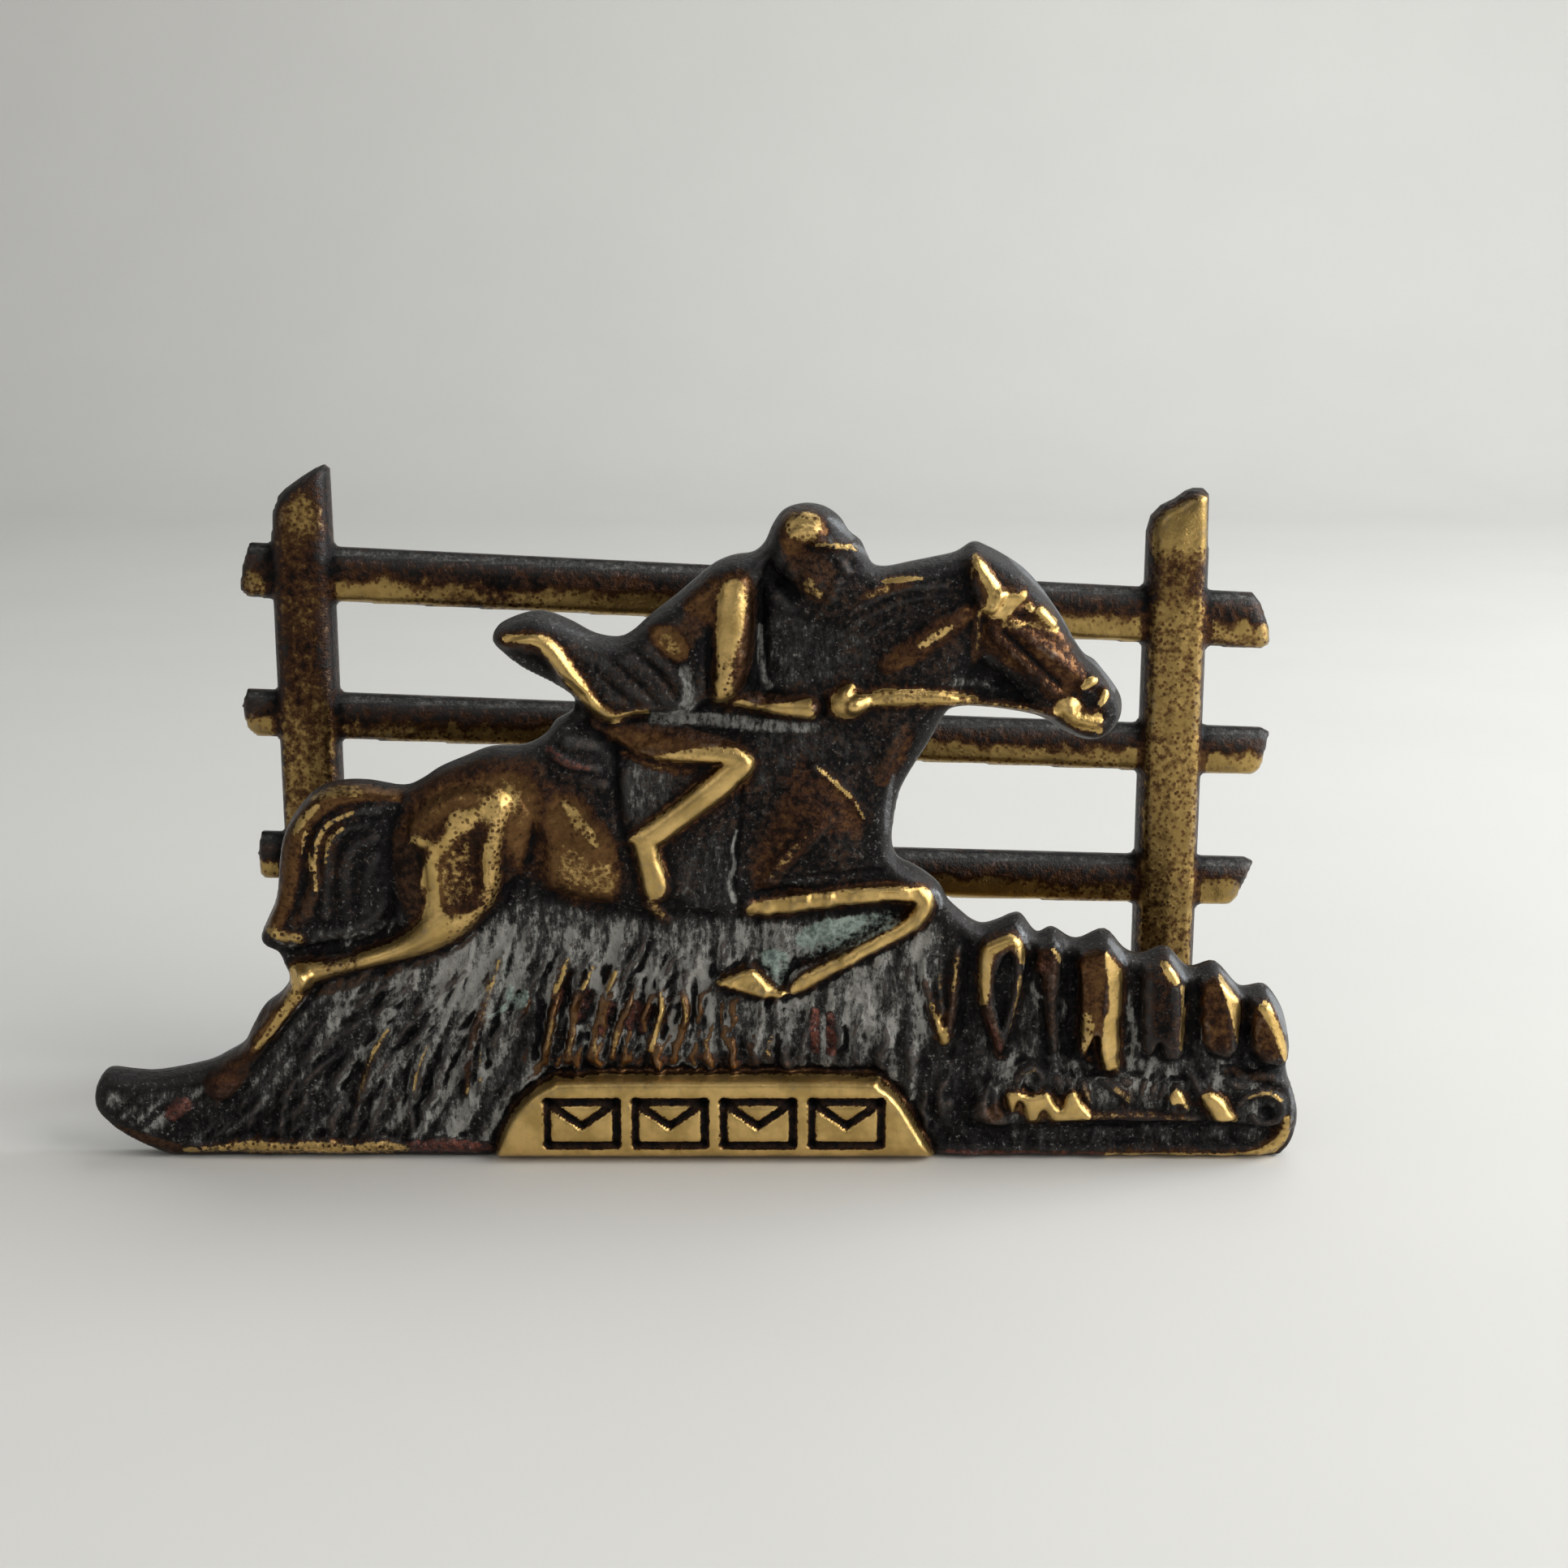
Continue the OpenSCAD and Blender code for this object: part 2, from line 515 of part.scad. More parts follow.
module base_plate() {
    left = post_x[0] - post_w / 2 - base_margin;
    right = post_x[1] + post_w / 2 + base_margin;
    hole_d = screw_d + screw_clearance;
    sink_d = head_d + screw_clearance;
    color("#8f7238")
        difference() {
            translate([left, web_back, 0])
                linear_extrude(base_t)
                    rounded_plate([right - left, fence_back - web_back], base_corner);
            for (p = concat(bracket_screw_places(), foot_screw_places()))
                translate([p[0], p[1], 0]) {
                    translate([0, 0, -OVER]) cylinder(d = hole_d, h = base_t + 2 * OVER);
                    cylinder(d1 = sink_d, d2 = hole_d, h = (sink_d - hole_d) / 2);
                }
        }
}

// Section of a post or rail: drafted sides and a crowned front, with its back on y = 0
function bar_section(width, thick) = [
    [-width / 2, 0], [width / 2, 0],
    [width / 2 - draft, crown - thick], [0, -thick], [draft - width / 2, crown - thick]
];

module post(x, height) {
    tip = [[-post_w / 2, 0], [post_w / 2, 0], [post_w / 2, height - base_t],
           [0, height - base_t - tip_drop / 3], [-post_w / 2, height - base_t - tip_drop]];
    translate([x, fence_back, base_t])
        intersection() {
            linear_extrude(height - base_t) polygon(bar_section(post_w, post_t));
            rotate([90, 0, 0]) linear_extrude(post_t) polygon(tip);
        }
}

module post_foot(x) {
    translate([x - post_w / 2, fence_back - foot_d, base_t]) cube([post_w, foot_d, foot_h]);
}

module rail(i) {
    fall = atan(rail_drop[i] / post_spacing);
    left = post_x[0] - post_w / 2 - left_stub[i];
    right = post_x[1] + post_w / 2 + right_stub[i];
    intersection() {
        translate([fence_shift, fence_back, rail_z[i]])
            rotate([0, fall, 0])
                rotate([90, 0, 90])
                    linear_extrude(2 * (right - left), center = true)
                        polygon([for (p = bar_section(rail_h[i], rail_t)) [p[1], p[0]]]);
        translate([left, fence_back - post_t, 0])
            cube([right - left, post_t, max(left_post_h, right_post_h)]);
    }
}

module back_fence() {
    color("#8a6a35")
        difference() {
            union() {
                post(post_x[0], left_post_h);
                post(post_x[1], right_post_h);
                for (x = post_x) post_foot(x);
                for (i = [0:len(rail_z) - 1]) rail(i);
            }
            for (p = foot_screw_places())
                translate([p[0], p[1], base_t - OVER])
                    cylinder(d = screw_d + thread_clearance, h = foot_thread + screw_clearance + OVER);
        }
}

// A slotted countersunk screw, driven from below
module screw(place, thread) {
    head_h = (head_d - screw_d) / 2;
    translate([place[0], place[1], 0])
        difference() {
            union() {
                cylinder(d1 = head_d, d2 = screw_d, h = head_h);
                cylinder(d = screw_d, h = base_t + thread);
            }
            translate([-head_d / 2, -slot_w / 2, -OVER])
                cube([head_d, slot_w, slot_depth + OVER]);
        }
}

module panel_screws() {
    color("#b08d45")
        for (p = bracket_screw_places()) screw(p, bracket_t);
}

module fence_screws() {
    color("#b08d45")
        for (p = foot_screw_places()) screw(p, foot_thread);
}

front_panel();
left_bracket();
right_bracket();
base_plate();
back_fence();
panel_screws();
fence_screws();
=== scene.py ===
"""Letter rack: cast relief panel, post-and-rail fence, base plate, brackets and screws in aged brass."""

import math

import bpy
import numpy as np
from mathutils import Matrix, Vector


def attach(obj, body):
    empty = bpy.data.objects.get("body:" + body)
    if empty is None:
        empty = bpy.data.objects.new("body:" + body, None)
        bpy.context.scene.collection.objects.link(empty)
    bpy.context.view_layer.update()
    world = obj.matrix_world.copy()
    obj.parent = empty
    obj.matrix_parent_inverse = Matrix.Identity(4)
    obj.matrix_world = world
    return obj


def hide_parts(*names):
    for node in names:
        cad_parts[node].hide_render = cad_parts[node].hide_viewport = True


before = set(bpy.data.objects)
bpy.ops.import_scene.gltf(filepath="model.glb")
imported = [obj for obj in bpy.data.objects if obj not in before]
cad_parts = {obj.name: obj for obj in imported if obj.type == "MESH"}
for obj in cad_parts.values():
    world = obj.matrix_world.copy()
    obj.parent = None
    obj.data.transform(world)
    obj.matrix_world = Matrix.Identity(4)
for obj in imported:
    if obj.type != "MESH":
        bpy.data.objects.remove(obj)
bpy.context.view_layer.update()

MM = 0.001
RNG = np.random.default_rng(11)

# Planes of the castings, greatest lift of the relief and steps of the grids, in millimetres
WEB_FRONT, WEB_BACK = -15.5, -12.5
FENCE_FRONT, FENCE_BACK = 16.5, 21.0
MOST_LIFT = 5.2
PANEL_STEP, FENCE_STEP = 0.3, 0.4

# Camera: place in millimetres, fall in degrees, and lens on a 36 mm sensor
CAMERA = (11.5, -320.3, 123.1)
CAMERA_FALL = 13.0
CAMERA_LENS = 54.04

# The relief is drawn as it looks from this point, on the web's front plane
EYE = np.array([CAMERA[0], CAMERA[2]])
EYE_GAP = WEB_FRONT - CAMERA[1]


def smooth(low, high, value):
    t = np.clip((value - low) / (high - low), 0.0, 1.0)
    return t * t * (3 - 2 * t)


def dome(depth, width):
    """Rounding that rises from 0 at an edge to 1 at that width inside it."""
    t = np.clip(depth / width, 0, 1)
    return np.sqrt(1 - (1 - t) ** 2)


def curve(points, steps, closed=False):
    """Catmull-Rom curve through points with any number of columns."""
    p = np.array(points, float)
    n = len(p)
    t = (np.arange(steps) / steps)[:, None]
    out = []
    for i in range(n if closed else n - 1):
        k = [i - 1, i, i + 1, i + 2]
        a, b, c, d = (p[j % n] if closed else p[min(max(j, 0), n - 1)] for j in k)
        out.append((2 * b + (c - a) * t + (2 * a - 5 * b + 4 * c - d) * t ** 2
                    + (3 * b - a - 3 * c + d) * t ** 3) / 2)
    if not closed:
        out.append(p[-1:])
    return np.concatenate(out)


def place(points, lift):
    """From the drawing on the web's plane to the true place of a form at that lift."""
    p = np.array(points, float)
    p[:, :2] = EYE + (p[:, :2] - EYE) * (1 - lift / EYE_GAP)
    return p


class Grid:
    """A field of heights over a rectangle, in millimetres."""

    def __init__(self, x0, x1, z0, z1, step):
        self.step = step
        self.x0, self.z0 = x0, z0
        self.x, self.z = np.meshgrid(np.arange(x0, x1 + step / 2, step), np.arange(z0, z1 + step / 2, step))

    def window(self, points, margin):
        """Rows and columns that hold the points, with a margin around them."""
        start = np.array([self.x0, self.z0])
        low = ((points[:, :2].min(0) - margin - start) / self.step).astype(int)
        high = ((points[:, :2].max(0) + margin - start) / self.step).astype(int) + 2
        cols, rows = (slice(max(a, 0), max(b, 0)) for a, b in zip(low, high))
        return rows, cols

    def blur(self, field, radius):
        sigma = radius / self.step
        reach = max(int(3 * sigma), 1)
        k = np.exp(-0.5 * (np.arange(-reach, reach + 1) / sigma) ** 2)
        k /= k.sum()
        for axis in (0, 1):
            pad = [(reach, reach) if a == axis else (0, 0) for a in (0, 1)]
            wide = np.pad(field, pad, mode="edge")
            size = field.shape[axis]
            field = sum(w * np.take(wide, np.arange(i, i + size), axis) for i, w in enumerate(k))
        return field

    def noise(self, size, stretch=1.0, across=None):
        """Smooth random field from -1 to 1 with lumps of about that size, along x or another coordinate."""
        u = (self.x - self.x0 if across is None else across - across.min()) / size
        rows = int(self.x.shape[0] * self.step / (size * stretch)) + 4
        lattice = RNG.uniform(-1, 1, (rows, int(u.max()) + 4))
        v = (self.z - self.z0) / (size * stretch)
        i, j = u.astype(int), v.astype(int)
        fu, fv = u - i, v - j
        fu, fv = fu * fu * (3 - 2 * fu), fv * fv * (3 - 2 * fv)
        low = lattice[j, i] * (1 - fu) + lattice[j, i + 1] * fu
        high = lattice[j + 1, i] * (1 - fu) + lattice[j + 1, i + 1] * fu
        return low * (1 - fv) + high * fv


def nearest(x, z, a, b):
    """Share of the way from a to b that is nearest to each place, and the offset from there."""
    run = b[:2] - a[:2]
    t = np.clip(((x - a[0]) * run[0] + (z - a[1]) * run[1]) / max(run @ run, 1e-12), 0, 1)
    return t, x - a[0] - t * run[0], z - a[1] - t * run[1]


def depth_inside(x, z, loop):
    """Distance to a closed loop, positive inside."""
    best = np.full(x.shape, np.inf)
    odd = np.zeros(x.shape, bool)
    for a, b in zip(loop, np.roll(loop, -1, 0)):
        _, dx, dz = nearest(x, z, a, b)
        best = np.minimum(best, dx ** 2 + dz ** 2)
        if a[1] != b[1]:
            crosses = (a[1] > z) != (b[1] > z)
            odd ^= crosses & (x < a[0] + (z - a[1]) / (b[1] - a[1]) * (b[0] - a[0]))
    return np.where(odd, 1, -1) * np.sqrt(best)


def along(x, z, path):
    """Distance to a path as a share of its half width there, and its last column there."""
    best = np.full(x.shape, np.inf)
    last = np.zeros(x.shape)
    for a, b in zip(path[:-1], path[1:]):
        t, dx, dz = nearest(x, z, a, b)
        share = np.hypot(dx, dz) / (a[2] + (b[2] - a[2]) * t)
        nearer = share < best
        best = np.where(nearer, share, best)
        last = np.where(nearer, a[-1] + (b[-1] - a[-1]) * t, last)
    return best, last


def soft_max(a, b, k):
    h = np.clip(0.5 + 0.5 * (a - b) / k, 0, 1)
    return b + (a - b) * h + k * h * (1 - h)


def show(name, data):
    """Put a mesh, a lamp or a camera into the scene."""
    obj = bpy.data.objects.new(name, data)
    bpy.context.scene.collection.objects.link(obj)
    return obj


# Relief panel: its outline as drawn
OUTLINE = [
    (-70, 0), (-75, 1.8), (-79.5, 4.2), (-82.5, 7), (-83.2, 9.2), (-82.6, 11.6), (-81.2, 12.9), (-78, 12.6),
    (-74.5, 12.5), (-68, 13.8), (-65, 15.2), (-62.5, 16.8), (-61, 19.5), (-59.5, 22), (-57.2, 23.8),
    (-55.8, 25.8), (-55.8, 27.6), (-57.2, 30.1), (-58.6, 31), (-59.2, 32.3), (-58.2, 34.6), (-56.8, 38),
    (-56, 44), (-55, 47.3), (-52.8, 50.5), (-50.5, 52.4), (-47.5, 53.2), (-44, 53.2), (-39.5, 52.5),
    (-37, 53.4), (-34.5, 55), (-31, 56.5), (-27.5, 57.8), (-23, 58.1), (-20.3, 59.5), (-18.8, 61.4),
    (-16.6, 62.8), (-16.4, 64.8), (-19, 66.6), (-22.5, 68.4), (-25, 70.2), (-26.8, 72.2), (-26.2, 74),
    (-24, 75.2), (-21.5, 75.9), (-19.5, 75.8), (-16.5, 74.6), (-13.5, 73), (-10.5, 72.5), (-8.5, 73.3),
    (-6, 75.5), (-3, 77.8), (0, 80.3), (2.5, 82.3), (5, 83.3), (7.5, 83.7), (9, 85), (10, 87.2), (11.3, 89),
    (13, 89.8), (15, 90), (17, 89.5), (18.8, 88.2), (20, 86.4), (21.5, 85.2), (22.3, 83.6), (23.2, 82.1),
    (25, 81.8), (28, 82.4), (31, 83), (34, 83.7), (36.2, 85), (38, 84.5), (40.5, 83.2), (43, 81.5),
    (45, 79.4), (46.6, 77.3), (48.2, 75), (49.6, 72.5), (51.2, 70.3), (52.6, 69.4), (54, 67.8), (55.4, 66),
    (56.2, 64.3), (56.2, 62.2), (55.3, 60.4), (53.8, 59.2), (52.2, 58.9), (50.4, 59.3), (48.2, 60.4),
    (45.5, 62), (42, 62.8), (38, 63.3), (34, 63.4), (32.6, 62.2), (31, 59.2), (28, 54.3), (26.8, 51.5),
    (26, 46.5), (26.2, 44), (27, 42.6), (29, 41.6), (31, 40.3), (32.6, 38.8), (33.7, 36.8), (35.6, 35),
    (37, 33.9), (38.6, 33.4), (40.7, 34), (42.5, 34.8), (43.8, 34.6), (45.8, 32.2), (47.9, 32.9),
    (50.3, 31.5), (51.9, 31.4), (55.1, 32.6), (57.7, 30), (59.3, 29.2), (60.7, 29.3), (63.5, 30.2),
    (66, 27.7), (67.5, 27.4), (70.3, 28), (73.2, 25), (74.5, 24.5), (77.1, 24.8), (78.9, 22.8), (80, 20.2),
    (80.8, 16), (80.4, 13.3), (81.5, 10), (82.1, 7.5), (82, 5), (81.3, 2.8), (79.8, 0.9), (77.5, 0),
]

# Main masses: outline as drawn, lift, width of the rounding
MASSES = {
    "body": ([(-41.8, 34), (-42.3, 40), (-41.8, 46), (-40.4, 50.5), (-39, 56), (-30, 62), (-20, 62),
        (-14, 60), (-11, 57), (-4, 60), (4, 60), (9, 64), (9, 78), (14, 80), (24, 86), (36, 90), (42, 84),
        (39, 74), (36, 66), (36, 60), (36, 44), (34.5, 40), (31, 39.2), (24, 38.8), (16, 38.2), (9, 37.2),
        (7, 34.4), (3, 33.8), (-2, 34.6), (-6, 34), (-10, 34.9), (-15, 36), (-20, 37.4), (-23.4, 39),
        (-25.5, 38), (-28, 34.5), (-31, 31.8), (-35, 29.6), (-39.4, 31), (-41, 32.4)], 2.5, 5.0),
    "tail": ([(-39, 54.5), (-44, 57), (-52, 56), (-58, 49), (-62, 34), (-60, 29.4), (-56.4, 29.2),
        (-52, 29.8), (-47, 30.4), (-42.6, 32.4), (-41, 36), (-41, 42), (-40.4, 47), (-39.4, 50)], 2.0, 2.8),
    "coat": ([(10, 88), (3, 86), (-3, 83), (-9, 78), (-10, 75), (-13, 75), (-19, 78), (-28, 77), (-29, 71),
        (-22, 66.5), (-16.6, 63.6), (-14, 62), (-11.8, 60.8), (-8, 61.6), (-4, 61.4), (-1.2, 61.6),
        (1.4, 63), (3, 63), (7, 66), (8, 71), (8.2, 77), (9, 80)], 3.4, 3.4),
    "head": ([(34.6, 86), (46, 86), (60, 70), (60, 58), (52, 56), (46, 60), (43, 64.4), (40, 67.2),
        (37, 69.2), (35.4, 75), (34.8, 80)], 3.1, 3.6),
    "rider_head": ([(8.6, 84), (8, 92), (22, 92), (24, 84), (21.4, 81), (20, 77.6), (17.6, 75.6), (14, 77),
        (11.4, 79.6)], 2.9, 2.6),
    "far_hoof": ([(-90, 2), (-90, 16), (-66, 16), (-64, 12), (-66.5, 7), (-70, 2.6), (-76, -1)], 1.2, 4.0),
    "thigh": ([(-24.2, 51), (-25, 46), (-25.8, 41.5), (-26.8, 37), (-29, 33.4), (-32, 30.8), (-36, 28.6),
        (-41, 27.2), (-46, 26), (-51, 24.6), (-54, 23.4), (-55.8, 23.6), (-57, 25.6), (-56.4, 28),
        (-52, 28.3), (-47.6, 28.8), (-43, 30.2), (-39.6, 32.2), (-37.8, 35.4), (-37.4, 39), (-38, 42.4),
        (-39.6, 45), (-38.6, 49), (-33, 52.4), (-28, 53)], 3.7, 2.7),
    "far_foreleg": ([(9, 38.2), (9, 41.6), (16, 42.2), (26, 43), (34, 42), (35, 38), (30, 38)], 2.2, 1.4),
    "turf": ([(36.8, 5.4), (38.6, 9.8), (41.4, 12), (45, 13.8), (48, 12.6), (52, 11.6), (58, 11.8), (64, 11),
        (70, 11.6), (78, 12.4), (84, 11), (84, 4.2), (74, 4.3), (60, 4.4), (48, 4.2), (41, 3.7)], 1.9, 1.3),
}

# Underside of the flying coat tail
COAT_HOLLOW = [(-27, 71.6), (-22, 71.2), (-19.4, 70.2), (-17, 66.4), (-15.2, 63.6), (-16, 61.6), (-24, 66)]

# Low swellings and hollows: middle, half length, half width, turn from level, lift
SWELLINGS = [
    (-27.5, 49, 10, 8, 10, 1.1), (-15, 43, 6.5, 8, 0, 1.0), (15, 48, 8, 9, 35, 0.7), (30, 71, 9, 5, 38, 0.5),
    (44, 71, 8, 4.5, -45, 0.5), (-22, 43, 2.4, 6, 8, -0.7), (-17.5, 54, 5, 2.6, -20, -0.3),
    (15.6, 49, 6, 7, 40, 0.7), (21.6, 46, 2.6, 6, 20, -0.5), (25.6, 57, 1.6, 5, -18, 0.4),
    (-31.6, 40.2, 6.4, 2.6, 74, -0.6), (-29.3, 42, 1.0, 5.0, -3, -0.35), (15, 70.5, 7, 6, 0, -0.8),
    (3, 42, 6, 6, 0, -0.4), (21, 57.5, 6, 5, -30, -0.3), (14.4, 87.4, 4.4, 3, 0, 1.5),
    (12.5, 80, 2.5, 3.4, 0, -0.5), (17.2, 31.8, 5.4, 2, 18, 0.8), (11, 30.6, 1.9, 3.2, 0, 0.8),
    (9.6, 27.6, 1.4, 2.1, 0, 0.7), (-71.6, 7, 2.2, 1.9, 30, 1.1), (-66, 10, 2.8, 2.1, 35, 0.5),
    (48.9, 63.2, 1.8, 1.6, 0, 1.0), (43.6, 76.3, 0.8, 0.7, 0, 0.7), (52.9, 65.1, 0.8, 0.6, 50, -0.6),
    (37.2, 79.6, 0.7, 1.1, 20, -0.4), (20, 63.7, 3.0, 2.6, 0, 1.8), (78.2, 7, 2.6, 3, 0, 0.5),
    (77.8, 6.4, 1.2, 1.2, 0, -0.7), (65.8, 6.9, 0.8, 0.7, 0, -0.8), (40, 7, 2, 2.8, 0, 0.4),
]

